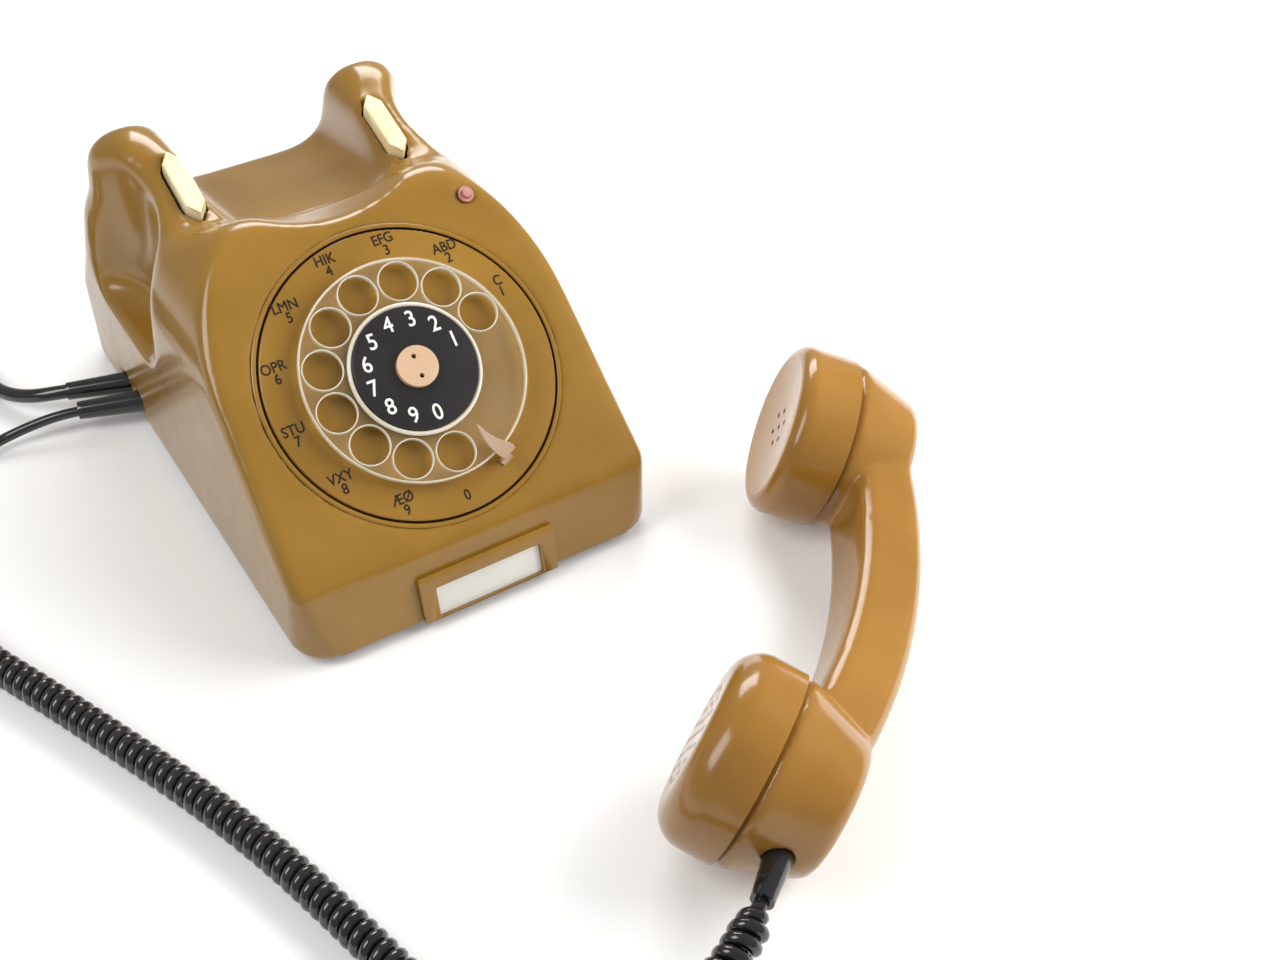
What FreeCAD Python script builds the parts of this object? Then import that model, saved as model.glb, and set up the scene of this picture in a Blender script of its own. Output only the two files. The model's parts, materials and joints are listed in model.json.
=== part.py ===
import FreeCAD, Part
import math
import os
import re
import Sketcher
from types import SimpleNamespace
from FreeCAD import Placement, Rotation, Vector

# Driving dimensions, in millimetres, degrees and counts
SIZES = {
    # Casing
    "casing_width": 133.0,
    "casing_depth": 222.0,
    "casing_floor": 3.0,
    "casing_wall": 2.6,
    "side_draft": 2.5,
    "front_top": 30.0,
    "front_lean": 4.4,
    "face_slope": 41.5,
    "crest_fall": 30.0,
    "notch_setback": 116.994,
    "notch_height": 98.0,
    "ear_rise": 19.0,
    "rear_lean": 22.9,
    "front_round": 6.0,
    "crest_round": 7.0,
    "notch_round": 10.0,
    "ear_round": 13.0,
    "ear_edge_round": 5.0,
    "ear_middle": 45.0,
    "ear_half_width": 14.5,
    "ear_top": 113.5,
    "ear_base": 97.0,
    "ear_narrow": 47.0,
    "ear_flare": 29.0,
    "shoulder_height": 68.0,
    "shoulder_round": 45.0,
    "front_corner": 14.0,
    "rear_corner": 22.0,
    "face_edge_round": 4.0,
    # Cradle
    "trough_half_width": 31.0,
    "trough_setback": 1.554,
    "trough_height": 90.0,
    "trough_fall": 11.0,
    "trough_front_slope": 45.0,
    "trough_round": 12.0,
    "saddle_radius": 55.0,
    "saddle_dip": 5.5,
    "saddle_fall": 20.0,
    "scoop_radius": 36.0,
    "scoop_reach": 84.0,
    "scoop_setback": 16.317,
    "scoop_middle": 56.0,
    "scoop_tilt": 14.0,
    "scoop_floor": 45.0,
    "scoop_round": 9.0,
    # Base plate, feet and screws
    "plate_thickness": 2.0,
    "plate_clearance": 1.4,
    "foot_radius": 8.0,
    "foot_inset_x": 18.0,
    "foot_inset_y": 24.0,
    "boss_radius": 4.0,
    "boss_inset_x": 22.0,
    "boss_inset_y": 12.0,
    "screw_radius": 1.4,
    "screw_length": 14.0,
    "screw_head_radius": 3.0,
    "screw_head_height": 1.4,
    "fit_clearance": 0.05,
    "slide_clearance": 0.3,
    # Label on the front wall
    "label_width": 50.0,
    "label_tall": 18.0,
    "label_proud": 2.0,
    "window_width": 39.0,
    "window_tall": 11.7,
    "window_drop": 2.4,
    "label_middle": 12.0,
    "card_thickness": 0.4,
    "window_thickness": 0.8,
    # Dial
    "dial_along_face": 55.5,
    "dial_opening": 50.6,
    "dial_groove": 1.2,
    "number_plate_proud": 0.6,
    "frame_radius": 52.4,
    "frame_thickness": 2.0,
    "bush_radius": 5.0,
    "bush_length": 5.0,
    "shaft_radius": 3.0,
    "wheel_radius": 38.0,
    "wheel_lift": 2.2,
    "wheel_thickness": 2.4,
    "wheel_rim": 1.4,
    "wheel_rim_proud": 0.8,
    "hole_radius": 6.5,
    "hole_circle": 30.0,
    "first_hole_angle": 21.0,
    "hole_pitch": 28.0,
    "hole_count": 10,
    "disc_radius": 20.8,
    "disc_thickness": 2.0,
    "nut_radius": 6.9,
    "nut_thickness": 2.0,
    "nut_hole_radius": 0.8,
    "nut_hole_circle": 3.4,
    "stop_angle": -65.0,
    "stop_width": 5.0,
    "stop_thickness": 1.2,
    "stop_overlap": 9.0,
    "stop_foot_length": 3.0,
    "stop_clearance": 1.0,
    # Dial mechanism
    "gear_module": 0.8,
    "gear_teeth": 48,
    "pinion_teeth": 12,
    "gear_thickness": 3.0,
    "gear_depth": 8.0,
    "gear_backlash": 0.16,
    "bridge_depth": 26.0,
    "bridge_radius": 33.0,
    "bridge_thickness": 1.6,
    "pillar_radius": 2.5,
    "pillar_circle": 28.0,
    "spring_width": 4.0,
    "spring_strip": 0.6,
    "spring_turns": 4,
    "spring_pitch": 2.2,
    "spring_depth": 15.5,
    "governor_radius": 1.5,
    "weight_radius": 7.5,
    "weight_thickness": 3.0,
    "weight_depth": 19.5,
    "cup_radius": 9.4,
    "cup_wall": 1.0,
    "cup_height": 6.0,
    # Face button
    "button_side": 43.0,
    "button_above": 51.0,
    "button_radius": 1.5,
    "button_proud": 2.4,
    "button_bush_radius": 2.4,
    "button_flange": 1.15,
    "button_bush_proud": 0.8,
    "button_bush_length": 7.0,
    "button_length": 11.0,
    # Hook switch
    "plunger_side": 37.5,
    "plunger_setback": 17.982,
    "plunger_length": 30.0,
    "plunger_width": 7.0,
    "plunger_point": 5.0,
    "plunger_proud": 3.2,
    "plunger_head": 12.0,
    "stem_width": 4.0,
    "stem_length": 6.0,
    "stem_reach": 40.0,
    "lever_pivot_setback": 6.438,
    "lever_bar_length": 8.0,
    "lever_thickness": 3.0,
    "lever_gap": 0.5,
    "lever_hub_radius": 4.2,
    "pivot_radius": 2.0,
    "bracket_side": 24.0,
    "bracket_thickness": 2.0,
    "bracket_depth": 12.0,
    # Ringer
    "gong_radius": 20.0,
    "gong_height": 13.0,
    "gong_wall": 1.4,
    "gong_side": 27.0,
    "gong_base": 14.0,
    "post_radius": 2.5,
    "coil_radius": 8.0,
    "coil_length": 17.0,
    "coil_side": 9.5,
    "coil_height": 20.0,
    "ringer_gap": 2.0,
    "armature_gap": 1.7,
    "armature_width": 34.0,
    "armature_thickness": 2.6,
    "armature_tall": 12.0,
    "clapper_pin_radius": 1.5,
    "clapper_reach": 25.0,
    "clapper_rod_radius": 1.0,
    "clapper_ball_radius": 4.0,
    # Circuit board
    "board_width": 80.0,
    "board_depth": 56.0,
    "board_thickness": 1.6,
    "board_lift": 4.0,
    "board_row": -58.0,
    "board_post_radius": 3.0,
    "transformer_width": 20.0,
    "transformer_depth": 16.0,
    "transformer_height": 12.0,
    "capacitor_radius": 5.0,
    "capacitor_height": 14.0,
    "terminal_width": 14.0,
    "terminal_length": 24.0,
    "terminal_height": 9.0,
    # Cord boots on the base
    "boot_height": 8.8,
    "boot_length": 22.0,
    "boot_root_radius": 4.2,
    "boot_tip_radius": 3.4,
    "boot_swing": 18.0,
    "handset_boot_row": 47.0,
    "line_boot_row": 61.0,
    # Handset
    "cap_spacing": 146.0,
    "cap_radius": 30.0,
    "cap_depth": 20.0,
    "cap_wall": 3.0,
    "cap_tilt": 8.0,
    "receiver_edge": 5.0,
    "transmitter_edge": 10.0,
    "dish_depth": 2.0,
    "seam_width": 2.0,
    "seam_depth": 1.6,
    "neck_wall": 2.2,
    "cup_top_radius": 21.0,
    "cup_depth": 24.0,
    "cup_hollow": 17.0,
    "channel_width": 5.0,
    "channel_floor": 1.5,
    "handle_width": 30.0,
    "handle_thickness": 22.0,
    "handle_back": 52.0,
    "handle_crown": 5.0,
    "handle_edge": 5.0,
    "capsule_thickness": 9.0,
    "sound_hole_radius": 1.0,
    "handset_boot_length": 14.0,
    "handset_x": 75.0,
    "handset_y": -188.0,
    "handset_turn": 45.0,
    # Cords
    "lead_radius": 2.1,
    "curl_wire_radius": 1.6,
    "curl_radius": 3.9,
    "curl_pitch": 4.3,
    "curl_end_run": 18.0,
    "line_radius": 2.8,
    "coil_turns_per_layer": 4,
    "coil_spacing": 6.2,
    "coil_inner_radius": 21.0,
    "tie_thickness": 1.0,
    "tie_width": 6.0,
    "relief_length": 12.0,
    "plug_length": 26.0,
    "plug_width": 16.0,
    "plug_thickness": 10.0,
    "pin_radius": 1.0,
    "pin_length": 9.0,
}

doc = FreeCAD.newDocument("rotary_telephone")
sheet = doc.addObject("Spreadsheet::Sheet", "sizes")
for row, (alias, value) in enumerate(SIZES.items(), start=1):
    sheet.set("A%d" % row, alias)
    sheet.set("B%d" % row, str(value))
    sheet.setAlias("B%d" % row, alias)
doc.recompute()
v = SimpleNamespace(**{alias: float(sheet.get(alias)) for alias in SIZES})
nodes = {}


def bound_text(text):
    """The same expression with every size taken from the sheet."""
    return re.sub(r"[a-z][a-z_]*", lambda word: "sizes." + word.group(0) if word.group(0) in SIZES
                  else word.group(0), text)


def bind(obj, properties):
    for name, text in properties.items():
        obj.setExpression(name, bound_text(text))
    obj.recompute()


def place(x=0.0, y=0.0, z=0.0, axis=None, angle=0.0):
    turn = Rotation() if axis is None else Rotation(Vector(*axis), angle)
    return Placement(Vector(x, y, z), turn)


def cylinder(label, radius, height, at):
    obj = doc.addObject("Part::Cylinder", label)
    bind(obj, {"Radius": radius, "Height": height})
    obj.Placement = at
    return obj


def cone(label, low_radius, high_radius, height, at):
    obj = doc.addObject("Part::Cone", label)
    bind(obj, {"Radius1": low_radius, "Radius2": high_radius, "Height": height})
    obj.Placement = at
    return obj


def ball(label, radius, at):
    obj = doc.addObject("Part::Sphere", label)
    bind(obj, {"Radius": radius})
    obj.Placement = at
    return obj


def block(label, length, width, height, at):
    """A block that is centred on its place in length and width, and stands on it."""
    obj = doc.addObject("Part::Box", label)
    bind(obj, {"Length": length, "Width": width, "Height": height})
    obj.Placement = at * place(-obj.Length.Value / 2, -obj.Width.Value / 2)
    return obj


def fuse(label, parts):
    obj = doc.addObject("Part::MultiFuse", label)
    obj.Shapes = parts
    return obj


def group(label, parts):
    obj = doc.addObject("Part::Compound", label)
    obj.Links = parts
    return obj


def cut(label, base, tools):
    obj = doc.addObject("Part::Cut", label)
    obj.Base = base
    obj.Tool = tools[0] if len(tools) == 1 else fuse(label + "_cuts", tools)
    return obj


def feature(label, shape, at=None):
    obj = doc.addObject("Part::Feature", label)
    obj.Shape = shape
    obj.Placement = at or Placement()
    return obj


def node(name, obj):
    obj.Label = name
    nodes[name] = obj
    return obj


# Places that several pieces share
SLOPE = math.radians(v.face_slope)
FRONT_Y = -v.casing_depth / 2
REAR_Y = v.casing_depth / 2
FRONT_ANGLE = math.degrees(math.atan2(v.front_top - v.casing_floor, v.front_lean))
FACE_FOOT = (FRONT_Y + v.front_lean, v.front_top)
DIAL_CENTRE = (FACE_FOOT[0] + v.dial_along_face * math.cos(SLOPE),
               FACE_FOOT[1] + v.dial_along_face * math.sin(SLOPE))
PLATE_TOP = v.casing_floor + v.plate_thickness
dial_frame_place = place(0, DIAL_CENTRE[0], DIAL_CENTRE[1], (1, 0, 0), v.face_slope)
label_y = FRONT_Y + v.front_lean * (v.label_middle - v.casing_floor) / (v.front_top - v.casing_floor)
label_place = place(0, label_y, v.label_middle, (1, 0, 0), FRONT_ANGLE)
button_place = dial_frame_place * place(v.button_side, v.button_above)
WALL_UNDER = -v.casing_wall
FRAME_UNDER = WALL_UNDER - v.frame_thickness


# The notch is set back from the front, and the trough and the plungers from the notch.
# The scoops and the lever's pivot lie ahead of the middle between notch or plungers and the rear.
NOTCH_Y = FRONT_Y + v.notch_setback
TROUGH_Y = NOTCH_Y + v.trough_setback
PLUNGER_Y = NOTCH_Y + v.plunger_setback
SCOOP_Y = (NOTCH_Y + REAR_Y) / 2 - v.scoop_setback
LEVER_PIVOT_Y = (PLUNGER_Y + REAR_Y) / 2 - v.lever_pivot_setback


def plunger_place(side):
    height = v.notch_height + math.tan(math.radians(v.ear_rise)) * v.plunger_setback
    return place(side * v.plunger_side, PLUNGER_Y, height, (1, 0, 0), v.ear_rise)


def boot_place(row):
    """At the left wall, with +Z pointing out along the cord."""
    wall_x = -v.casing_width / 2 + (v.boot_height - v.casing_floor) * math.tan(math.radians(v.side_draft))
    outward = Vector(-math.cos(math.radians(v.boot_swing)), math.sin(math.radians(v.boot_swing)), 0)
    return Placement(Vector(wall_x, row, v.boot_height), Rotation(Vector(0, 0, 1), outward))


# Casing
def offset_polygon(points, distance):
    """Moves each side of a clockwise-drawn polygon inwards by distance."""
    count = len(points)
    sides = []
    for index in range(count):
        (ay, az), (by, bz) = points[index], points[(index + 1) % count]
        length = math.hypot(by - ay, bz - az)
        normal = ((bz - az) / length, -(by - ay) / length)
        sides.append((ay + normal[0] * distance, az + normal[1] * distance, by - ay, bz - az))
    moved = []
    for index in range(count):
        ay, az, ady, adz = sides[index - 1]
        by, bz, bdy, bdz = sides[index]
        along = ((by - ay) * bdz - (bz - az) * bdy) / (ady * bdz - adz * bdy)
        moved.append((ay + along * ady, az + along * adz))
    return moved


def meet(first, first_angle, second, second_angle):
    """Where two lines of the side view cross, each given by a point and its rise in degrees."""
    ady, adz = math.cos(math.radians(first_angle)), math.sin(math.radians(first_angle))
    bdy, bdz = math.cos(math.radians(second_angle)), math.sin(math.radians(second_angle))
    along = ((second[0] - first[0]) * bdz - (second[1] - first[1]) * bdy) / (ady * bdz - adz * bdy)
    return (first[0] + along * ady, first[1] + along * adz)


def side_outline(floor):
    notch = (NOTCH_Y, v.notch_height)
    rear_foot = (REAR_Y, v.casing_floor)
    rear_rise = 90 + v.rear_lean
    front_foot = meet(FACE_FOOT, FRONT_ANGLE, (0, floor), 0)
    crest = meet(FACE_FOOT, v.face_slope, notch, -v.crest_fall)
    ear = meet(notch, v.ear_rise, rear_foot, rear_rise)
    return [front_foot, FACE_FOOT, crest, notch, ear, meet(rear_foot, rear_rise, (0, floor), 0)]


def side_prism(points, half_width):
    corners = [Vector(-half_width, y, z) for y, z in points + points[:1]]
    return Part.Face(Part.makePolygon(corners)).extrude(Vector(2 * half_width, 0, 0))


def long_edge(shape, point):
    """The edge along X that passes through a point of the side view."""
    for edge in shape.Edges:
        start, end = edge.Vertexes[0].Point, edge.Vertexes[-1].Point
        if abs(start.x - end.x) > 1 and math.hypot(start.y - point[0], start.z - point[1]) < 0.01:
            if math.hypot(end.y - point[0], end.z - point[1]) < 0.01:
                return edge
    raise ValueError("no edge at %s" % (point,))


def side_form(inset, floor):
    points = offset_polygon(side_outline(floor), inset)
    solid = side_prism(points, v.casing_width)
    radii = [v.front_round - inset, v.crest_round - inset, v.notch_round + inset, v.ear_round - inset]
    for point, radius in zip(points[1:5], radii):
        solid = solid.makeFillet(radius, [long_edge(solid, point)])
    return solid


def front_form(inset, floor):
    draft = math.radians(v.side_draft)
    radius = v.shoulder_round - inset
    half = v.casing_width / 2 - inset / math.cos(draft)
    centre_x = half - (radius - (v.casing_floor - v.shoulder_height) * math.sin(draft)) / math.cos(draft)
    centre = Vector(centre_x, 0, v.shoulder_height)
    half_floor = half - (floor - v.casing_floor) * math.tan(draft)

    def on_arc(angle):
        return centre + Vector(radius * math.cos(angle), 0, radius * math.sin(angle))

    def mirrored(point):
        return Vector(-point.x, point.y, point.z)

    foot = Vector(half_floor, 0, floor)
    start, middle, top = on_arc(draft), on_arc((draft + math.pi / 2) / 2), on_arc(math.pi / 2)
    edges = [
        Part.makeLine(mirrored(foot), foot),
        Part.makeLine(foot, start),
        Part.Arc(start, middle, top).toShape(),
        Part.makeLine(top, mirrored(top)),
        Part.Arc(mirrored(top), mirrored(middle), mirrored(start)).toShape(),
        Part.makeLine(mirrored(start), mirrored(foot)),
    ]
    face = Part.Face(Part.Wire(edges))
    face.translate(Vector(0, -v.casing_depth, 0))
    return face.extrude(Vector(0, 2 * v.casing_depth, 0))


def rounded_plan(inset, low, high):
    """The outline seen from above, with its four corners rounded, between two heights."""
    half_x = v.casing_width / 2 - inset
    half_y = v.casing_depth / 2 - inset
    solid = Part.makeBox(2 * half_x, 2 * half_y, high - low, Vector(-half_x, -half_y, low))
    for end, radius in ((-1, v.front_corner), (1, v.rear_corner)):
        corners = [edge for edge in solid.Edges if abs(edge.Length - (high - low)) < 1e-6
                   and edge.CenterOfMass.y * end > half_y - 0.01]
        solid = solid.makeFillet(radius - inset, corners)
    return solid


def trough_tool(grow):
    start = (TROUGH_Y, v.trough_height)
    far = v.casing_depth
    high = 2 * v.trough_height
    points = [
        start,
        (start[0] - (high - start[1]) / math.tan(math.radians(v.trough_front_slope)), high),
        (far, high),
        (far, start[1] - (far - start[0]) * math.tan(math.radians(v.trough_fall))),
    ]
    half = v.trough_half_width + grow
    points = offset_polygon(points, -grow)
    solid = side_prism(points, half)
    low, front = points[0], points[1]
    below = points[3]
    picked = []
    for edge in solid.Edges:
        ends = [(vertex.Point.y, vertex.Point.z) for vertex in edge.Vertexes]
        near = [any(math.dist(end, corner) < 0.01 for corner in (low, front, below)) for end in ends]
        at_low = any(math.dist(end, low) < 0.01 for end in ends)
        if at_low and all(near):
            picked.append(edge)
    return solid.makeFillet(v.trough_round + grow, picked)


def saddle_tool(grow):
    """A wide shallow hollow that lowers the crest between the plungers."""
    crest = meet(FACE_FOOT, v.face_slope, (NOTCH_Y, v.notch_height), -v.crest_fall)
    middle = Vector(0, crest[0], crest[1] - v.saddle_dip + v.saddle_radius)
    way = Rotation(Vector(1, 0, 0), 90 - v.saddle_fall).multVec(Vector(0, 0, 1))
    length = v.casing_depth / 2
    hollow = Part.makeCylinder(v.saddle_radius + grow, length, middle - way * (length / 2), way)
    half = v.trough_half_width + grow
    tall = 4 * v.shoulder_height
    return hollow.common(Part.makeBox(2 * half, 2 * v.casing_depth, tall, Vector(-half, -v.casing_depth, 0)))


def ear_edge_tool(side):
    """What is cut off to round an ear's upper edge along the trough."""
    radius = v.ear_edge_round
    lean = radius * (1 - math.sqrt(0.5))
    over = 2 * radius
    spare = v.fit_clearance
    corners = [Vector(radius, 0, 0), Vector(radius, 0, over), Vector(-spare, 0, over),
               Vector(-spare, 0, -radius), Vector(0, 0, -radius)]
    edges = [Part.makeLine(first, second) for first, second in zip(corners, corners[1:])]
    edges.append(Part.Arc(corners[-1], Vector(lean, 0, -lean), corners[0]).toShape())
    profile = Part.Face(Part.Wire(edges))
    if side < 0:
        profile = profile.mirror(Vector(0, 0, 0), Vector(1, 0, 0))
    solid = profile.extrude(Vector(0, v.casing_depth / 2, 0))
    solid.Placement = place(side * v.trough_half_width, NOTCH_Y, v.notch_height, (1, 0, 0), v.ear_rise)
    return solid


def scoop_tool(side, grow):
    radius = v.scoop_radius + grow
    floor = v.scoop_floor - grow
    length = 4 * v.shoulder_height
    tilt = Rotation(Vector(1, 0, 0), v.scoop_tilt)
    middle = Vector(side * v.scoop_reach, SCOOP_Y, v.scoop_middle)
    start = middle - tilt.multVec(Vector(0, 0, length / 2))
    solid = Part.makeCylinder(radius, length, start, tilt.multVec(Vector(0, 0, 1)))
    above = Part.makeBox(4 * radius, 8 * radius, length, Vector(middle.x - 2 * radius, -4 * radius, floor))
    solid = solid.common(above)
    rim = [edge for edge in solid.Edges if abs(edge.CenterOfMass.z - floor) < 0.01 and edge.Length > radius]
    return solid.makeFillet(v.scoop_round + grow, rim)


def ear_form(side, inset):
    """A bar with a round top, which widens towards the rear, for the ear on one side."""
    radius = v.ear_half_width - inset
    spring = v.ear_top - v.ear_half_width
    foot = v.shoulder_height - inset
    inner = v.ear_middle - radius
    outer = v.ear_middle + radius
    walls = [Vector(x, 0, z) for x, z in ((inner, spring), (inner, foot), (outer, foot), (outer, spring))]
    edges = [Part.makeLine(first, second) for first, second in zip(walls, walls[1:])]
    edges.append(Part.Arc(walls[-1], Vector(v.ear_middle, 0, spring + radius), walls[0]).toShape())
    bar = Part.Face(Part.Wire(edges)).extrude(Vector(0, v.casing_depth, 0))
    start = NOTCH_Y + inset
    bar.translate(Vector(0, start, 0))
    plan = [(inner, start), (v.ear_narrow - inset, start), (outer, start + v.ear_flare),
            (outer, start + v.casing_depth), (inner, start + v.casing_depth)]
    corners = [Vector(x, y, 0) for x, y in plan + plan[:1]]
    bar = bar.common(Part.Face(Part.makePolygon(corners)).extrude(Vector(0, 0, 2 * v.ear_top)))
    if side < 0:
        bar = bar.mirror(Vector(0, 0, 0), Vector(1, 0, 0))
    return bar


def casing_form(inset, floor):
    side = side_form(inset, floor)
    solid = side.common(front_form(inset, floor))
    if inset == 0:
        solid = round_face_edges(solid)
    corner = Vector(-v.casing_width, NOTCH_Y - inset, v.ear_base - inset)
    solid = solid.cut(Part.makeBox(2 * v.casing_width, v.casing_depth, v.ear_top, corner))
    for end in (-1, 1):
        solid = solid.fuse(side.common(ear_form(end, inset)))
    solid = solid.removeSplitter().common(rounded_plan(inset, floor, 2 * v.ear_top))
    solid = solid.cut(trough_tool(inset)).cut(saddle_tool(inset))
    if inset == 0:
        solid = solid.cut(ear_edge_tool(-1)).cut(ear_edge_tool(1))
    return solid.cut(scoop_tool(-1, inset)).cut(scoop_tool(1, inset))


def round_face_edges(solid):
    """Rounds the two long edges between the sloping face and the side walls."""
    inverse = dial_frame_place.inverse()
    picked = []
    for edge in solid.Edges:
        local = inverse.multVec(edge.CenterOfMass)
        if abs(local.z) < 0.05 and abs(local.x) > v.dial_opening and edge.Length > v.dial_opening / 2:
            picked.append(edge)
    return solid.makeFillet(v.face_edge_round, picked)


def boss_centres():
    """Front and rear screw bosses, left and right."""
    x = v.casing_width / 2 - v.boss_inset_x
    y = v.casing_depth / 2 - v.boss_inset_y
    return [(sign_x * x, sign_y * y) for sign_x in (-1, 1) for sign_y in (-1, 1)]


def plunger_outline(grow):
    """A long six-sided outline, pointed at both ends."""
    half_long = v.plunger_length / 2 + grow
    half_wide = v.plunger_width / 2 + grow
    shoulder = half_long - v.plunger_point
    points = [(half_wide, -shoulder), (half_wide, shoulder), (0, half_long), (-half_wide, shoulder),
              (-half_wide, -shoulder), (0, -half_long)]
    return [Vector(x, y, 0) for x, y in points + points[:1]]


def make_casing():
    outer = casing_form(0, v.casing_floor)
    inner = casing_form(v.casing_wall, v.casing_floor - 4 * v.casing_wall)
    shell = outer.cut(inner)
    for x, y in boss_centres():
        boss = Part.makeCylinder(v.boss_radius, 2 * v.shoulder_height, Vector(x, y, PLATE_TOP)).common(outer)
        shell = shell.fuse(boss)
        hole_radius = v.screw_radius + v.fit_clearance
        shell = shell.cut(Part.makeCylinder(hole_radius, v.screw_length, Vector(x, y, v.casing_floor)))
    through = 3 * v.casing_wall
    opening = Part.makeCylinder(v.dial_opening, 2 * through, Vector(0, 0, -through))
    opening.Placement = dial_frame_place
    button_hole = Part.makeCylinder(v.button_bush_radius, 2 * through, Vector(0, 0, -through))
    button_hole.Placement = button_place
    shell = shell.cut(opening).cut(button_hole)
    for side in (-1, 1):
        slot = Part.Face(Part.makePolygon(plunger_outline(v.slide_clearance)))
        slot.translate(Vector(0, 0, -v.plunger_head))
        slot = slot.extrude(Vector(0, 0, 2 * v.plunger_head))
        slot.Placement = plunger_place(side)
        shell = shell.cut(slot)
    for boot_row in (v.handset_boot_row, v.line_boot_row):
        hole = Part.makeCylinder(v.boot_root_radius, 4 * through, Vector(0, 0, -2 * through))
        hole.Placement = boot_place(boot_row)
        shell = shell.cut(hole)
    node("casing", feature("casing", shell.Solids[0]))


# Base plate, feet and screws
def make_base_plate():
    inset = v.casing_wall + v.plate_clearance
    plate = rounded_plan(inset, v.casing_floor, PLATE_TOP)
    for x, y in boss_centres():
        hole_radius = v.screw_radius + v.slide_clearance
        plate = plate.cut(Part.makeCylinder(hole_radius, v.plate_thickness, Vector(x, y, v.casing_floor)))
    for row in (v.handset_boot_row, v.line_boot_row):
        notch = Part.makeCylinder(v.boot_root_radius + 1, 2 * v.boot_length, Vector(0, 0, -v.boot_length))
        notch.Placement = boot_place(row)
        plate = plate.cut(notch)
    node("base_plate", feature("base_plate", plate))


def make_feet():
    x = v.casing_width / 2 - v.foot_inset_x
    y = v.casing_depth / 2 - v.foot_inset_y
    feet = []
    for sign_x in (-1, 1):
        for sign_y in (-1, 1):
            feet.append(cylinder("foot", "foot_radius", "casing_floor", place(sign_x * x, sign_y * y)))
    node("rubber_feet", group("rubber_feet", feet))


def make_base_screws():
    screws = []
    for x, y in boss_centres():
        head_low = v.casing_floor - v.screw_head_height
        head = cylinder("screw_head", "screw_head_radius", "screw_head_height", place(x, y, head_low))
        shank = cylinder("screw_shank", "screw_radius", "screw_length - 1", place(x, y, v.casing_floor))
        screws.append(fuse("base_screw", [head, shank]))
    node("base_screws", group("base_screws", screws))


# Bodies built from sketches
def new_body(label):
    return doc.addObject("PartDesign::Body", label)


def new_sketch(body, label):
    sketch = body.newObject("Sketcher::SketchObject", label)
    plane = next(item for item in body.Origin.OriginFeatures if item.Role == "XY_Plane")
    sketch.AttachmentSupport = (plane, [""])
    sketch.MapMode = "FlatFace"
    return sketch


def constrain(sketch, kind, items, text, start):
    """Adds a dimension that is bound to the sheet."""
    sketch.addConstraint(Sketcher.Constraint(kind, *items, start))
    sketch.setExpression("Constraints[%d]" % (sketch.ConstraintCount - 1), bound_text(text))


def draw_circle(sketch, radius, x=None, y=None):
    circle = sketch.addGeometry(Part.Circle(Vector(1, 1, 0), Vector(0, 0, 1), 1), False)
    constrain(sketch, "Radius", (circle,), radius, 1)
    if x is None:
        sketch.addConstraint(Sketcher.Constraint("Coincident", circle, 3, -1, 1))
        return
    constrain(sketch, "DistanceX", (-1, 1, circle, 3), x, 1)
    constrain(sketch, "DistanceY", (-1, 1, circle, 3), y, 1)


def draw_rectangle(sketch, width, tall, drop=None):
    """A rectangle on the sketch's centre line, lowered by drop."""
    corners = [Vector(-1, -1, 0), Vector(1, -1, 0), Vector(1, 1, 0), Vector(-1, 1, 0)]
    lines = []
    for start, end in zip(corners, corners[1:] + corners[:1]):
        lines.append(sketch.addGeometry(Part.LineSegment(start, end), False))
    for line, after in zip(lines, lines[1:] + lines[:1]):
        sketch.addConstraint(Sketcher.Constraint("Coincident", line, 2, after, 1))
    for line, kind in zip(lines[1:], ("Vertical", "Horizontal", "Vertical")):
        sketch.addConstraint(Sketcher.Constraint(kind, line))
    sketch.addConstraint(Sketcher.Constraint("Symmetric", lines[0], 1, lines[0], 2, -2))
    constrain(sketch, "DistanceX", (lines[0], 1, lines[0], 2), width, 2)
    constrain(sketch, "DistanceY", (lines[1], 1, lines[1], 2), tall, 2)
    middle = "-(%s) / 2" % tall if drop is None else "-(%s) / 2 - (%s)" % (tall, drop)
    constrain(sketch, "DistanceY", (-1, 1, lines[0], 1), middle, -1)


def pad(body, sketch, length):
    obj = body.newObject("PartDesign::Pad", "Pad")
    obj.Profile = sketch
    bind(obj, {"Length": length})
    return obj


def pocket_through(body, sketch):
    obj = body.newObject("PartDesign::Pocket", "Pocket")
    obj.Profile = sketch
    obj.Type = 1
    obj.Midplane = True
    doc.recompute()
    return obj


# Label on the front wall
def make_label():
    body = new_body("label_frame")
    outline = new_sketch(body, "frame_outline")
    draw_rectangle(outline, "label_width", "label_tall")
    pad(body, outline, "label_proud")
    window = new_sketch(body, "frame_window")
    draw_rectangle(window, "window_width", "window_tall", "window_drop")
    pocket_through(body, window)
    body.Placement = label_place
    node("label_frame", body)
    inside = label_place * place(0, -v.window_drop)
    gap = "2 * fit_clearance"
    width, tall = "window_width - " + gap, "window_tall - " + gap
    card = block("label_card", width, tall, "card_thickness", inside)
    node("label_card", card)
    cover = block("label_window", width, tall, "window_thickness", inside * place(0, 0, v.card_thickness))
    node("label_window", cover)


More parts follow.
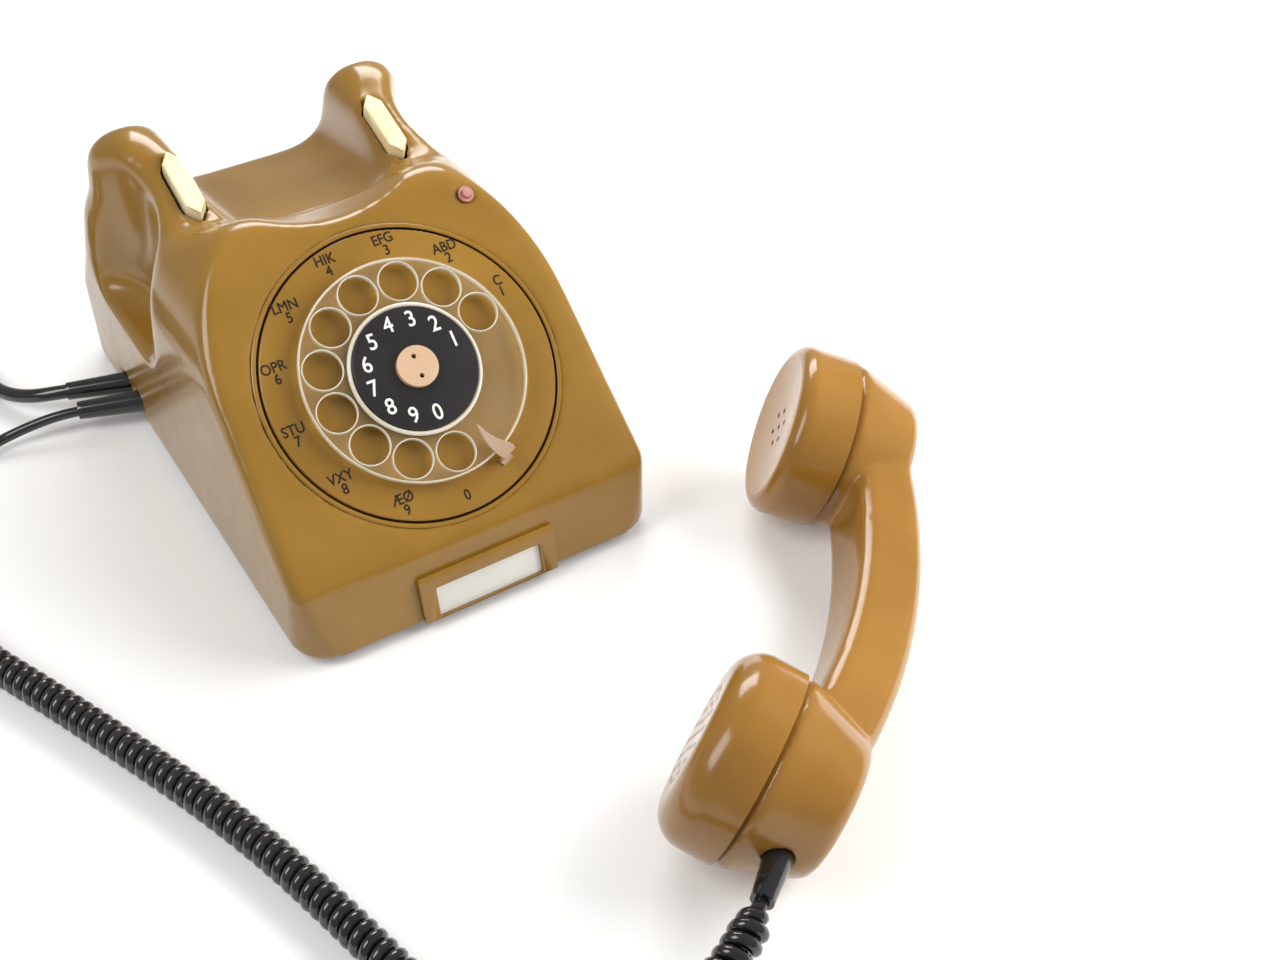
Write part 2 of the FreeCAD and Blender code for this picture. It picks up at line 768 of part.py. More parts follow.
# Fixed pieces of the dial
def make_dial_fixed():
    at = dial_frame_place
    plate = cylinder("number_plate_disc", "dial_opening - dial_groove", "casing_wall + number_plate_proud",
                     at * place(0, 0, WALL_UNDER))
    rounded = doc.addObject("Part::Fillet", "number_plate_rim")
    rounded.Base = plate
    doc.recompute()
    top = max(range(len(plate.Shape.Edges)),
              key=lambda index: at.inverse().multVec(plate.Shape.Edges[index].CenterOfMass).z)
    rounded.Edges = [(top + 1, v.number_plate_proud, v.number_plate_proud)]
    bore = cylinder("number_plate_bore", "bush_radius", "4 * casing_wall", at * place(0, 0, 2 * WALL_UNDER))
    node("number_plate", cut("number_plate", rounded, [bore]))

    sheet_disc = cylinder("dial_frame_disc", "frame_radius", "frame_thickness", at * place(0, 0, FRAME_UNDER))
    bush_bore = cylinder("dial_frame_bore", "bush_radius", "3 * frame_thickness",
                         at * place(0, 0, FRAME_UNDER - v.frame_thickness))
    pivot_bore = cylinder("dial_frame_pivot", "governor_radius + fit_clearance", "3 * frame_thickness",
                          governor_place(FRAME_UNDER - v.frame_thickness))
    node("dial_frame", cut("dial_frame", sheet_disc, [bush_bore, pivot_bore]))

    bush = cylinder("bush_outer", "bush_radius", "bush_length + casing_wall", bush_place())
    bush_hole = cylinder("bush_hole", "shaft_radius + fit_clearance", "2 * bush_length + 2 * casing_wall",
                         bush_place() * place(0, 0, -v.bush_length))
    node("dial_bush", cut("dial_bush", bush, [bush_hole]))


def bush_place():
    return dial_frame_place * place(0, 0, WALL_UNDER - v.bush_length)


def governor_place(depth):
    """On the governor's axis, at a depth along the dial's axis."""
    return dial_frame_place * place(-gear_distance(), 0, depth)


def gear_distance():
    return v.gear_module * (v.gear_teeth + v.pinion_teeth) / 2


PLATE_FACE = v.number_plate_proud
WHEEL_UNDER = PLATE_FACE + v.wheel_lift
WHEEL_TOP = WHEEL_UNDER + v.wheel_thickness
STOP_UNDER = WHEEL_TOP + v.wheel_rim_proud + v.stop_clearance
DISC_TOP = WHEEL_TOP + v.disc_thickness
BRIDGE_TOP = -v.bridge_depth


def make_finger_stop():
    """A bent strip that stands on the number plate and reaches in over the wheel's edge."""
    turned = dial_frame_place * place(0, 0, PLATE_FACE, (0, 0, 1), v.stop_angle)
    foot_radius = v.wheel_radius + 2 * v.stop_clearance + v.stop_thickness / 2
    leg_height = STOP_UNDER - PLATE_FACE
    leg = block("stop_leg", "stop_thickness", "stop_width", "%f + stop_thickness" % leg_height,
                turned * place(foot_radius))
    inner = v.wheel_radius - v.stop_overlap
    reach = foot_radius + v.stop_thickness / 2 - inner
    arm = block("stop_arm", "%f" % reach, "stop_width", "stop_thickness",
                turned * place(inner + reach / 2, 0, leg_height))
    tip = cylinder("stop_tip", "stop_width / 2", "stop_thickness", turned * place(inner, 0, leg_height))
    foot = block("stop_foot", "stop_foot_length", "stop_width", "stop_thickness",
                 turned * place(foot_radius - v.stop_thickness / 2 + v.stop_foot_length / 2))
    node("finger_stop", fuse("finger_stop", [leg, arm, tip, foot]))


def make_bridge():
    at = dial_frame_place
    disc = cylinder("bridge_disc", "bridge_radius", "bridge_thickness",
                    at * place(0, 0, BRIDGE_TOP - v.bridge_thickness))
    low = BRIDGE_TOP - 2 * v.bridge_thickness
    shaft_hole = cylinder("bridge_hole", "shaft_radius + fit_clearance", "3 * bridge_thickness",
                          at * place(0, 0, low))
    pivot_hole = cylinder("bridge_pivot", "governor_radius + fit_clearance", "3 * bridge_thickness",
                          governor_place(low))
    node("bridge_plate", cut("bridge_plate", disc, [shaft_hole, pivot_hole]))
    pillars = []
    for angle in (0, 120, 240):
        spot = at * place(0, 0, BRIDGE_TOP, (0, 0, 1), angle) * place(v.pillar_circle)
        length = "%f - casing_wall - frame_thickness" % v.bridge_depth
        pillars.append(cylinder("pillar", "pillar_radius", length, spot))
    node("bridge_pillars", group("bridge_pillars", pillars))
    cup = cylinder("cup_outer", "cup_radius + cup_wall", "cup_height", governor_place(BRIDGE_TOP))
    hollow = cylinder("cup_hollow", "cup_radius", "cup_height * 3",
                      governor_place(BRIDGE_TOP - v.cup_height))
    node("governor_cup", cut("governor_cup", cup, [hollow]))
    contact_spot = at * place(0, -v.pillar_circle + v.pillar_radius, BRIDGE_TOP)
    stack = block("contact_stack", "3 * pillar_radius", "2 * pillar_radius", "2 * cup_height", contact_spot)
    blades = []
    for layer in (1, 2):
        lift = layer * v.cup_height * 0.6
        blades.append(block("contact_blade", "7 * pillar_radius", "pillar_radius", "bridge_thickness / 3",
                            contact_spot * place(0, 0, lift)))
    node("pulse_contacts", fuse("pulse_contacts", [stack] + blades))


# Turning pieces of the dial
def make_finger_wheel():
    body = new_body("finger_wheel")
    disc = new_sketch(body, "wheel_outline")
    draw_circle(disc, "wheel_radius")
    pad(body, disc, "wheel_thickness")
    rim = new_sketch(body, "wheel_rim_outline")
    draw_circle(rim, "wheel_radius")
    draw_circle(rim, "wheel_radius - wheel_rim")
    pad(body, rim, "wheel_thickness + wheel_rim_proud")
    bore = new_sketch(body, "wheel_bore")
    draw_circle(bore, "shaft_radius")
    pocket_through(body, bore)
    hole = new_sketch(body, "finger_hole")
    angle = "(first_hole_angle * 1deg)"
    draw_circle(hole, "hole_radius", "hole_circle * cos%s" % angle, "hole_circle * sin%s" % angle)
    first = pocket_through(body, hole)
    pattern = body.newObject("PartDesign::PolarPattern", "finger_holes")
    pattern.Originals = [first]
    pattern.Axis = (disc, ["N_Axis"])
    bind(pattern, {"Angle": "hole_pitch * (hole_count - 1)", "Occurrences": "hole_count"})
    body.Tip = pattern
    body.Placement = dial_frame_place * place(0, 0, WHEEL_UNDER)
    node("finger_wheel", body)


def make_dial_centre():
    at = dial_frame_place
    disc = cylinder("disc_blank", "disc_radius", "disc_thickness", at * place(0, 0, WHEEL_TOP))
    hole = cylinder("disc_hole", "shaft_radius", "3 * disc_thickness", at * place(0, 0, WHEEL_UNDER))
    node("number_disc", cut("number_disc", disc, [hole]))

    body = new_body("dial_nut")
    outline = new_sketch(body, "nut_outline")
    draw_circle(outline, "nut_radius")
    pad(body, outline, "nut_thickness")
    spanner = new_sketch(body, "spanner_holes")
    draw_circle(spanner, "nut_hole_radius", "0", "nut_hole_circle")
    draw_circle(spanner, "nut_hole_radius", "0", "-nut_hole_circle")
    pocket_through(body, spanner)
    body.Placement = at * place(0, 0, DISC_TOP)
    node("dial_nut", body)

    end_depth = v.bridge_depth + v.bridge_thickness
    node("dial_shaft", cylinder("dial_shaft", "shaft_radius", "%f" % (end_depth + DISC_TOP),
                                at * place(0, 0, -end_depth)))


def involute_gear(teeth, thickness, bore):
    """A spur gear with short involute teeth, the first tooth on +X."""
    pitch = v.gear_module * teeth / 2
    base = pitch * math.cos(math.radians(20))
    tip = pitch + 0.8 * v.gear_module
    root = pitch - 1.1 * v.gear_module
    half_tooth = math.pi / (2 * teeth) - v.gear_backlash / (2 * pitch)

    def spread(radius):
        roll = math.sqrt(max(radius * radius / (base * base) - 1, 0))
        return roll - math.atan(roll)

    steps = 5
    low = max(base, root)
    flank = []
    for step in range(steps + 1):
        radius = low + (tip - low) * step / steps
        flank.append((radius, half_tooth + spread(pitch) - spread(radius)))
    if root < base:
        flank.insert(0, (root, flank[0][1]))
    points = []
    for tooth in range(teeth):
        middle = 2 * math.pi * tooth / teeth
        for radius, angle in flank:
            points.append((radius, middle - angle))
        for radius, angle in reversed(flank):
            points.append((radius, middle + angle))
    corners = [Vector(radius * math.cos(angle), radius * math.sin(angle), 0) for radius, angle in points]
    blank = Part.Face(Part.makePolygon(corners + corners[:1])).extrude(Vector(0, 0, thickness))
    return blank.cut(Part.makeCylinder(bore, thickness))


def make_gears():
    gear_low = FRAME_UNDER - v.gear_depth
    teeth = int(v.gear_teeth)
    gear = involute_gear(teeth, v.gear_thickness, v.shaft_radius)
    node("main_gear", feature("main_gear", gear, dial_frame_place * place(0, 0, gear_low)))
    pinion_teeth = int(v.pinion_teeth)
    pinion = involute_gear(pinion_teeth, v.gear_thickness, v.governor_radius)
    # The gear has a tooth towards +X and another towards the pinion, which then shows it a gap
    gap_turn = 180.0 / pinion_teeth
    node("governor_pinion", feature("governor_pinion", pinion,
                                    governor_place(gear_low) * place(0, 0, 0, (0, 0, 1), gap_turn)))
    length = "bridge_depth + bridge_thickness - casing_wall - slide_clearance"
    node("governor_shaft", cylinder("governor_shaft", "governor_radius", length,
                                    governor_place(BRIDGE_TOP - v.bridge_thickness)))
    low = governor_place(-v.weight_depth - v.weight_thickness)
    hub = cylinder("weight_hub", "2 * governor_radius", "weight_thickness", low)
    arm = block("weight_arm", "2 * weight_radius - 2 * governor_radius", "governor_radius",
                "weight_thickness", low)
    ends = []
    for side in (-1, 1):
        reach = side * (v.weight_radius - v.governor_radius)
        ends.append(cylinder("weight", "governor_radius", "weight_thickness", low * place(reach)))
    bore = cylinder("weight_bore", "governor_radius", "weight_thickness * 3",
                    low * place(0, 0, -v.weight_thickness))
    node("governor_weights", cut("governor_weights", fuse("weight_blank", [hub, arm] + ends), [bore]))


def make_mainspring():
    """A flat spiral strip that starts on the shaft."""
    turns = int(v.spring_turns)
    per_turn = 16
    inner = [(v.shaft_radius + v.spring_pitch * step / per_turn, 2 * math.pi * step / per_turn)
             for step in range(turns * per_turn + 1)]

    def bend(grow):
        spots = [Vector((r + grow) * math.cos(a), (r + grow) * math.sin(a), 0) for r, a in inner]
        curve = Part.BSplineCurve()
        curve.interpolate(spots)
        return curve.toShape(), spots

    low_edge, low_spots = bend(0)
    high_edge, high_spots = bend(v.spring_strip)
    sides = [low_edge, Part.makeLine(low_spots[-1], high_spots[-1]), high_edge,
             Part.makeLine(high_spots[0], low_spots[0])]
    strip = Part.Face(Part.Wire(Part.__sortEdges__(sides))).extrude(Vector(0, 0, v.spring_width))
    node("mainspring", feature("mainspring", strip,
                               dial_frame_place * place(0, 0, -v.spring_depth - v.spring_width)))


# Face button
def make_button():
    low = v.button_bush_proud - v.button_bush_length
    outer = cylinder("button_bush_outer", "button_bush_radius", "button_bush_length",
                     button_place * place(0, 0, low))
    flange = cylinder("button_bush_flange", "button_flange * button_bush_radius", "button_bush_proud",
                      button_place)
    hole = cylinder("button_bush_hole", "button_radius + fit_clearance", "3 * button_bush_length",
                    button_place * place(0, 0, low - v.button_bush_length))
    node("button_bush", cut("button_bush", fuse("button_bush_blank", [outer, flange]), [hole]))
    tail = v.button_proud - v.button_length
    stem = cylinder("button_stem", "button_radius", "button_length", button_place * place(0, 0, tail))
    collar = cylinder("button_collar", "1.4 * button_radius", "button_radius / 2",
                      button_place * place(0, 0, tail))
    node("face_button", fuse("face_button", [stem, collar]))


# Hook switch
def make_plungers():
    for side, name in ((-1, "left_plunger"), (1, "right_plunger")):
        at = plunger_place(side)
        head = Part.Face(Part.makePolygon(plunger_outline(0)))
        head.translate(Vector(0, 0, v.plunger_proud - v.plunger_head))
        head = head.extrude(Vector(0, 0, v.plunger_head))
        top = [edge for edge in head.Edges if edge.CenterOfMass.z > v.plunger_proud - 0.01]
        head = head.makeFillet(v.plunger_proud / 4, top)
        head_obj = feature(name + "_head", head, at)
        below = at * place(0, 0, -v.stem_reach)
        stem = block(name + "_stem", "stem_width", "stem_length", "stem_reach", below)
        node(name, fuse(name, [head_obj, stem]))


def stem_end():
    """The middle of the plunger stem's lower end, in the side view."""
    end = plunger_place(1).multVec(Vector(0, 0, -v.stem_reach))
    return end.y, end.z


def lever_height():
    """The underside of the lever's bar, which is also the height of its pivot."""
    dip = v.stem_length / 2 * math.sin(math.radians(v.ear_rise))
    return stem_end()[1] - dip - v.lever_gap - v.lever_thickness


LEVER_PIVOT_Z = lever_height()


def make_lever():
    end_y = stem_end()[0]
    bar_low = LEVER_PIVOT_Z
    bar = block("lever_bar", "2 * plunger_side + stem_width", "lever_bar_length", "lever_thickness",
                place(0, end_y, bar_low))
    hub_length = 2 * (v.bracket_side - v.bracket_thickness / 2 - v.slide_clearance)
    hub_place = place(-hub_length / 2, LEVER_PIVOT_Y, LEVER_PIVOT_Z, (0, 1, 0), 90)
    hub = cylinder("lever_hub", "lever_hub_radius", "%f" % hub_length, hub_place)
    arm_length = LEVER_PIVOT_Y - end_y
    arms = []
    for side in (-1, 1):
        spot = place(side * hub_length / 4, (LEVER_PIVOT_Y + end_y) / 2, bar_low)
        arms.append(block("lever_arm", "2 * lever_thickness", "%f" % arm_length, "lever_thickness", spot))
    bore = cylinder("lever_bore", "pivot_radius + fit_clearance", "%f * 3" % hub_length,
                    hub_place * place(0, 0, -hub_length))
    node("hook_lever", cut("hook_lever", fuse("lever_blank", [bar, hub] + arms), [bore]))


def make_bracket():
    tall = LEVER_PIVOT_Z + 2 * v.pivot_radius - PLATE_TOP
    parts = []
    for side in (-1, 1):
        parts.append(block("bracket_side_plate", "bracket_thickness", "bracket_depth", "%f" % tall,
                           place(side * v.bracket_side, LEVER_PIVOT_Y, PLATE_TOP)))
    span = "2 * bracket_side"
    parts.append(block("bracket_foot", span, "bracket_depth", "bracket_thickness",
                       place(0, LEVER_PIVOT_Y, PLATE_TOP)))
    shelf_low = LEVER_PIVOT_Z / 2
    parts.append(block("bracket_shelf", span, "bracket_depth", "bracket_thickness",
                       place(0, LEVER_PIVOT_Y, shelf_low)))
    bore = cylinder("bracket_bore", "pivot_radius", "4 * bracket_side",
                    place(-2 * v.bracket_side, LEVER_PIVOT_Y, LEVER_PIVOT_Z, (0, 1, 0), 90))
    node("hook_bracket", cut("hook_bracket", fuse("bracket_blank", parts), [bore]))
    pin_length = 2 * v.bracket_side + 3 * v.bracket_thickness
    node("hook_pivot_pin", cylinder("hook_pivot_pin", "pivot_radius", "%f" % pin_length,
                                    place(-pin_length / 2, LEVER_PIVOT_Y, LEVER_PIVOT_Z, (0, 1, 0), 90)))
    stack_low = shelf_low + v.bracket_thickness
    stack = block("hook_stack", "bracket_side", "bracket_depth - bracket_thickness", "4 * bracket_thickness",
                  place(0, LEVER_PIVOT_Y, stack_low))
    blades = []
    for layer in (1, 2, 3):
        blades.append(block("hook_blade", "bracket_thickness", "2 * bracket_depth", "bracket_thickness / 4",
                            place((layer - 2) * v.bracket_depth / 2, LEVER_PIVOT_Y - v.bracket_depth / 2,
                                  stack_low + layer * v.bracket_thickness)))
    node("hook_contacts", fuse("hook_contacts", [stack] + blades))


# Ringer
COIL_BACK = LEVER_PIVOT_Y - v.bracket_depth / 2 - v.bracket_thickness - v.ringer_gap
CLAPPER_Y = COIL_BACK - v.coil_length - v.armature_gap - v.armature_thickness / 2


def make_ringer():
    thick = v.bracket_thickness
    foot_front = CLAPPER_Y - 2 * v.clapper_pin_radius - thick
    foot_depth = COIL_BACK + thick - foot_front
    width = 2 * (v.coil_side + v.coil_radius) + thick
    foot = block("ringer_foot", "%f" % width, "%f" % foot_depth, "bracket_thickness",
                 place(0, foot_front + foot_depth / 2, PLATE_TOP))
    tall = v.coil_height + v.coil_radius - PLATE_TOP
    back = block("ringer_back", "%f" % width, "bracket_thickness", "%f" % tall,
                 place(0, COIL_BACK + thick / 2, PLATE_TOP))
    pin_bore = cylinder("ringer_pin_bore", "clapper_pin_radius", "3 * bracket_thickness",
                        place(0, CLAPPER_Y, PLATE_TOP))
    node("ringer_frame", cut("ringer_frame", fuse("ringer_blank", [foot, back]), [pin_bore]))
    coils = []
    for side in (-1, 1):
        at = place(side * v.coil_side, COIL_BACK, v.coil_height, (1, 0, 0), 90)
        winding = cylinder("coil_winding", "coil_radius - 1", "coil_length", at)
        cheeks = [cylinder("coil_cheek", "coil_radius", "1", at),
                  cylinder("coil_cheek", "coil_radius", "1", at * place(0, 0, v.coil_length - 1))]
        coils.append(fuse("ringer_coil", [winding] + cheeks))
    node("ringer_coils", group("ringer_coils", coils))
    pin_top = v.coil_height + v.armature_tall
    node("ringer_pin", cylinder("ringer_pin", "clapper_pin_radius", "%f" % (pin_top - PLATE_TOP),
                                place(0, CLAPPER_Y, PLATE_TOP)))
    armature_low = PLATE_TOP + thick + v.slide_clearance
    armature_top = v.coil_height + v.armature_tall / 2
    sleeve = cylinder("armature_sleeve", "2 * clapper_pin_radius", "%f" % (armature_top - armature_low),
                      place(0, CLAPPER_Y, armature_low))
    plate = block("armature_plate", "armature_width", "armature_thickness", "armature_tall",
                  place(0, CLAPPER_Y, v.coil_height - v.armature_tall / 2))
    rod = cylinder("clapper_rod", "clapper_rod_radius", "clapper_reach",
                   place(0, CLAPPER_Y, v.coil_height, (1, 0, 0), 90))
    knob = ball("clapper_ball", "clapper_ball_radius", place(0, CLAPPER_Y - v.clapper_reach, v.coil_height))
    bore = cylinder("clapper_bore", "clapper_pin_radius + fit_clearance", "4 * armature_tall",
                    place(0, CLAPPER_Y, 0))
    node("clapper", cut("clapper", fuse("clapper_blank", [sleeve, plate, rod, knob]), [bore]))


def make_gongs():
    row = CLAPPER_Y - v.clapper_reach
    posts = []
    screws = []
    crown = v.gong_height * 0.45
    for side, name in ((-1, "left_gong"), (1, "right_gong")):
        at = place(side * v.gong_side, row, v.gong_base)
        outer = cylinder(name + "_skirt", "gong_radius", "gong_height", at)
        rounded = doc.addObject("Part::Fillet", name + "_dome")
        rounded.Base = outer
        doc.recompute()
        top = max(range(len(outer.Shape.Edges)), key=lambda index: outer.Shape.Edges[index].CenterOfMass.z)
        rounded.Edges = [(top + 1, crown, crown)]
        hollow = cylinder(name + "_hollow", "gong_radius - gong_wall", "gong_height - gong_wall", at)
        hollow_round = doc.addObject("Part::Fillet", name + "_hollow_dome")
        hollow_round.Base = hollow
        doc.recompute()
        inner_round = crown - v.gong_wall / 2
        hollow_round.Edges = [(top + 1, inner_round, inner_round)]
        low = at * place(0, 0, -v.gong_height)
        hole = cylinder(name + "_hole", "post_radius / 2", "3 * gong_height", low)
        node(name, cut(name, rounded, [hollow_round, hole]))
        seat = v.gong_base + v.gong_height - v.gong_wall
        posts.append(cylinder("gong_post", "post_radius", "%f" % (seat - PLATE_TOP),
                              place(side * v.gong_side, row, PLATE_TOP)))
        screws.append(cylinder("gong_screw", "post_radius", "gong_wall",
                               place(side * v.gong_side, row, v.gong_base + v.gong_height)))
    node("gong_posts", group("gong_posts", posts))
    node("gong_screws", group("gong_screws", screws))


# Circuit board and terminals
def make_board():
    body = new_body("circuit_board")
    outline = new_sketch(body, "board_outline")
    draw_rectangle(outline, "board_width", "board_depth")
    pad(body, outline, "board_thickness")
    low = PLATE_TOP + v.board_lift
    body.Placement = place(0, v.board_row, low)
    node("circuit_board", body)
    posts = []
    for sign_x in (-1, 1):
        for sign_y in (-1, 1):
            x = sign_x * (v.board_width / 2 - 2 * v.board_post_radius)
            y = v.board_row + sign_y * (v.board_depth / 2 - 2 * v.board_post_radius)
            posts.append(cylinder("board_post", "board_post_radius", "board_lift", place(x, y, PLATE_TOP)))
    node("board_posts", group("board_posts", posts))
    top = low + v.board_thickness
    node("transformer", block("transformer", "transformer_width", "transformer_depth", "transformer_height",
                              place(v.board_width / 5, v.board_row + v.board_depth / 6, top)))
    node("capacitor", cylinder("capacitor", "capacitor_radius", "capacitor_height",
                               place(-v.board_width / 5, v.board_row + v.board_depth / 6, top)))
    row = (v.handset_boot_row + v.line_boot_row) / 2
    x = -v.casing_width / 2 + v.boot_length
    strip = block("terminal_strip", "terminal_width", "terminal_length", "terminal_height",
                  place(x, row, PLATE_TOP))
    slots = []
    for index in range(4):
        y = row + (index - 1.5) * v.terminal_length / 4
        slots.append(cylinder("terminal_hole", "terminal_length / 16", "terminal_height",
                              place(x, y, PLATE_TOP + v.terminal_height / 2)))
    node("terminal_block", cut("terminal_block", strip, slots))


# Cord boots on the base
def make_boots():
    for name, row, cord_radius in (("handset_cord_boot", v.handset_boot_row, "lead_radius"),
                                   ("line_cord_boot", v.line_boot_row, "line_radius")):
        at = boot_place(row)
        sleeve = cone(name + "_sleeve", "boot_root_radius", "boot_tip_radius", "boot_length", at)
        neck_length = 3 * v.casing_wall
        neck = cylinder(name + "_neck", "boot_root_radius", "%f" % neck_length, at * place(0, 0, -neck_length))
        bore = cylinder(name + "_bore", cord_radius, "boot_length", at * place(0, 0, v.boot_length / 2))
        node(name, cut(name, fuse(name + "_blank", [sleeve, neck]), [bore]))


# Handset, drawn along X with the caps facing -Z, the transmitter at -X
CAP_FACE = v.cap_wall + v.dish_depth
NECK_LOW = CAP_FACE + v.capsule_thickness
CUP_LOW = v.cap_depth + v.seam_width
CUP_LOW_RADIUS = v.cap_radius - v.slide_clearance
CUP_HIGH = CUP_LOW + v.cup_depth
NECK_RADIUS = v.cap_radius - v.cap_wall - v.slide_clearance


def handset_place():
    """Lying on the flanks of its two cups, with the caps looking up to the left."""
    turn = math.radians(v.handset_turn)
    look_up = math.atan2(CUP_LOW_RADIUS - v.cup_top_radius, v.cup_depth)
    along = Vector(math.cos(turn), math.sin(turn), 0)
    left = Vector(-math.sin(turn), math.cos(turn), 0)
    back = left * -math.cos(look_up) - Vector(0, 0, math.sin(look_up))
    rotation = Rotation(along, back.cross(along), back, "XYZ")
    middle = Placement(Vector(v.handset_x, v.handset_y, 0), rotation) * place(0, 0, -v.handle_back / 2)
    resting = handset_shell()
    resting.Placement = middle
    low = resting.optimalBoundingBox(False).ZMin
    return Placement(middle.Base - Vector(0, 0, low), rotation)


def end_place(side):
    """The frame of one cup: its cap's face is at z = 0. The caps lean towards each other."""
    tilted = place(side * v.cap_spacing / 2, 0, v.cap_depth, (0, 1, 0), side * v.cap_tilt)
    return tilted * place(0, 0, -v.cap_depth)


def handle_solid():
    """A bowed bar with an arched back and rounded long edges."""
    half = v.cap_spacing / 2 + v.handle_width / 4
    inner_half = v.cap_spacing / 2 - v.cup_top_radius / 2
    crown = v.handle_back + v.handle_crown
    end_back = v.handle_back - 2 * v.handle_crown
    under = crown - v.handle_thickness
    end_under = under - 2 * v.handle_crown

    def point(x, z):
        return Vector(x, -v.handle_width / 2, z)

    edges = [
        Part.Arc(point(-half, end_back), point(0, crown), point(half, end_back)).toShape(),
        Part.makeLine(point(half, end_back), point(half, end_under)),
        Part.makeLine(point(half, end_under), point(inner_half, end_under)),
        Part.Arc(point(inner_half, end_under), point(0, under), point(-inner_half, end_under)).toShape(),
        Part.makeLine(point(-inner_half, end_under), point(-half, end_under)),
        Part.makeLine(point(-half, end_under), point(-half, end_back)),
    ]
    bar = Part.Face(Part.Wire(edges)).extrude(Vector(0, v.handle_width, 0))
    long_edges = [edge for edge in bar.Edges if isinstance(edge.Curve, Part.Circle)]
    return bar.makeFillet(v.handle_edge, long_edges)


def cup_solid():
    cup = Part.makeCone(CUP_LOW_RADIUS, v.cup_top_radius, v.cup_depth, Vector(0, 0, CUP_LOW))
    top = [edge for edge in cup.Edges if abs(edge.CenterOfMass.z - CUP_HIGH) < 0.01
           and isinstance(edge.Curve, Part.Circle)]
    cup = cup.makeFillet(v.handle_edge, top)
    seam = Part.makeCylinder(v.cap_radius - v.seam_depth, v.seam_width, Vector(0, 0, v.cap_depth))
    neck = Part.makeCylinder(NECK_RADIUS, CUP_LOW - NECK_LOW, Vector(0, 0, NECK_LOW))
    return cup.fuse([seam, neck])


def handset_shell():
    shell = handle_solid()
    for side in (-1, 1):
        cup = cup_solid()
        cup.Placement = end_place(side)
        shell = shell.fuse(cup)
    for side in (-1, 1):
        bore = Part.makeCylinder(NECK_RADIUS - v.neck_wall, CUP_LOW - NECK_LOW, Vector(0, 0, NECK_LOW))
        deep = Part.makeCylinder(v.cup_top_radius - v.neck_wall, v.cup_hollow, Vector(0, 0, CUP_LOW))
        hollow = bore.fuse(deep)
        hollow.Placement = end_place(side)
        shell = shell.cut(hollow)
    channel_half = v.cap_spacing / 2 - v.cup_top_radius / 2
    channel_low = v.handle_back + v.handle_crown - v.handle_thickness + v.channel_floor
    channel = Part.makeBox(2 * channel_half, v.channel_width, v.channel_width,
                           Vector(-channel_half, -v.channel_width / 2, channel_low))
    entry = Part.makeCylinder(v.boot_root_radius, v.cup_top_radius)
    entry.Placement = handset_boot_place() * place(0, 0, -v.cup_top_radius / 2)
    return shell.cut(channel).cut(entry).Solids[0]


def handset_boot_place():
    """At the transmitter cup's outer side, with +Z pointing out along the cord."""
    height = CUP_LOW + v.cup_depth / 2
    radius = (CUP_LOW_RADIUS + v.cup_top_radius) / 2
    return end_place(-1) * Placement(Vector(-radius, 0, height), Rotation(Vector(0, 1, 0), -90))


def cap_solid(edge_round, dish, rings, ring_step):
    """A hollow cap with rings of sound holes round one in the middle."""
    cap = Part.makeCylinder(v.cap_radius, v.cap_depth)
    face_edge = [edge for edge in cap.Edges if abs(edge.CenterOfMass.z) < 0.01
                 and isinstance(edge.Curve, Part.Circle)]
    cap = cap.makeFillet(edge_round, face_edge)
    cap = cap.cut(Part.makeCylinder(v.cap_radius - v.cap_wall, v.cap_depth, Vector(0, 0, CAP_FACE)))
    if dish:
        rim = v.cap_radius - edge_round
        sphere_radius = (rim * rim + dish * dish) / (2 * dish)
        cap = cap.cut(Part.makeSphere(sphere_radius, Vector(0, 0, dish - sphere_radius)))
    spots = [(0, 0)]
    for ring in range(1, rings + 1):
        for index in range(6 * ring):
            angle = math.pi * index / (3 * ring)
            spots.append((ring * ring_step * math.cos(angle), ring * ring_step * math.sin(angle)))
    holes = [Part.makeCylinder(v.sound_hole_radius, CAP_FACE, Vector(x, y, 0)) for x, y in spots]
    return cap.cut(Part.makeCompound(holes))


def make_handset():
    at = handset_place()
    node("handset_body", feature("handset_body", handset_shell(), at))
    receiver = cap_solid(v.receiver_edge, v.dish_depth, 1, v.cap_radius / 5)
    node("receiver_cap", feature("receiver_cap", receiver, at * end_place(1)))
    transmitter = cap_solid(v.transmitter_edge, 0, 3, v.cap_radius / 6)
    node("transmitter_cap", feature("transmitter_cap", transmitter, at * end_place(-1)))
    for side, name in ((1, "receiver_capsule"), (-1, "transmitter_capsule")):
        node(name, cylinder(name, "cap_radius - cap_wall - slide_clearance", "capsule_thickness",
                            at * end_place(side) * place(0, 0, CAP_FACE)))
    boot_at = at * handset_boot_place()
    sleeve = cone("handset_boot_sleeve", "boot_root_radius", "boot_tip_radius", "handset_boot_length", boot_at)
    tail = cylinder("handset_boot_tail", "boot_root_radius", "boot_root_radius",
                    boot_at * place(0, 0, -v.boot_root_radius))
    cord_end = boot_at * place(0, 0, v.handset_boot_length * 3 / 4)
    bore = cylinder("handset_boot_bore", "lead_radius", "handset_boot_length", cord_end)
    node("handset_boot", cut("handset_boot", fuse("handset_boot_blank", [sleeve, tail]), [bore]))
    return cord_end


# Cords
def turn_radius(before, corner, after):
    """The largest radius that the two runs at a corner allow, and the half turn there."""
    first, second = corner - before, after - corner
    half_turn = first.getAngle(second) / 2
    return 0.45 * min(first.Length, second.Length) / math.tan(half_turn), half_turn


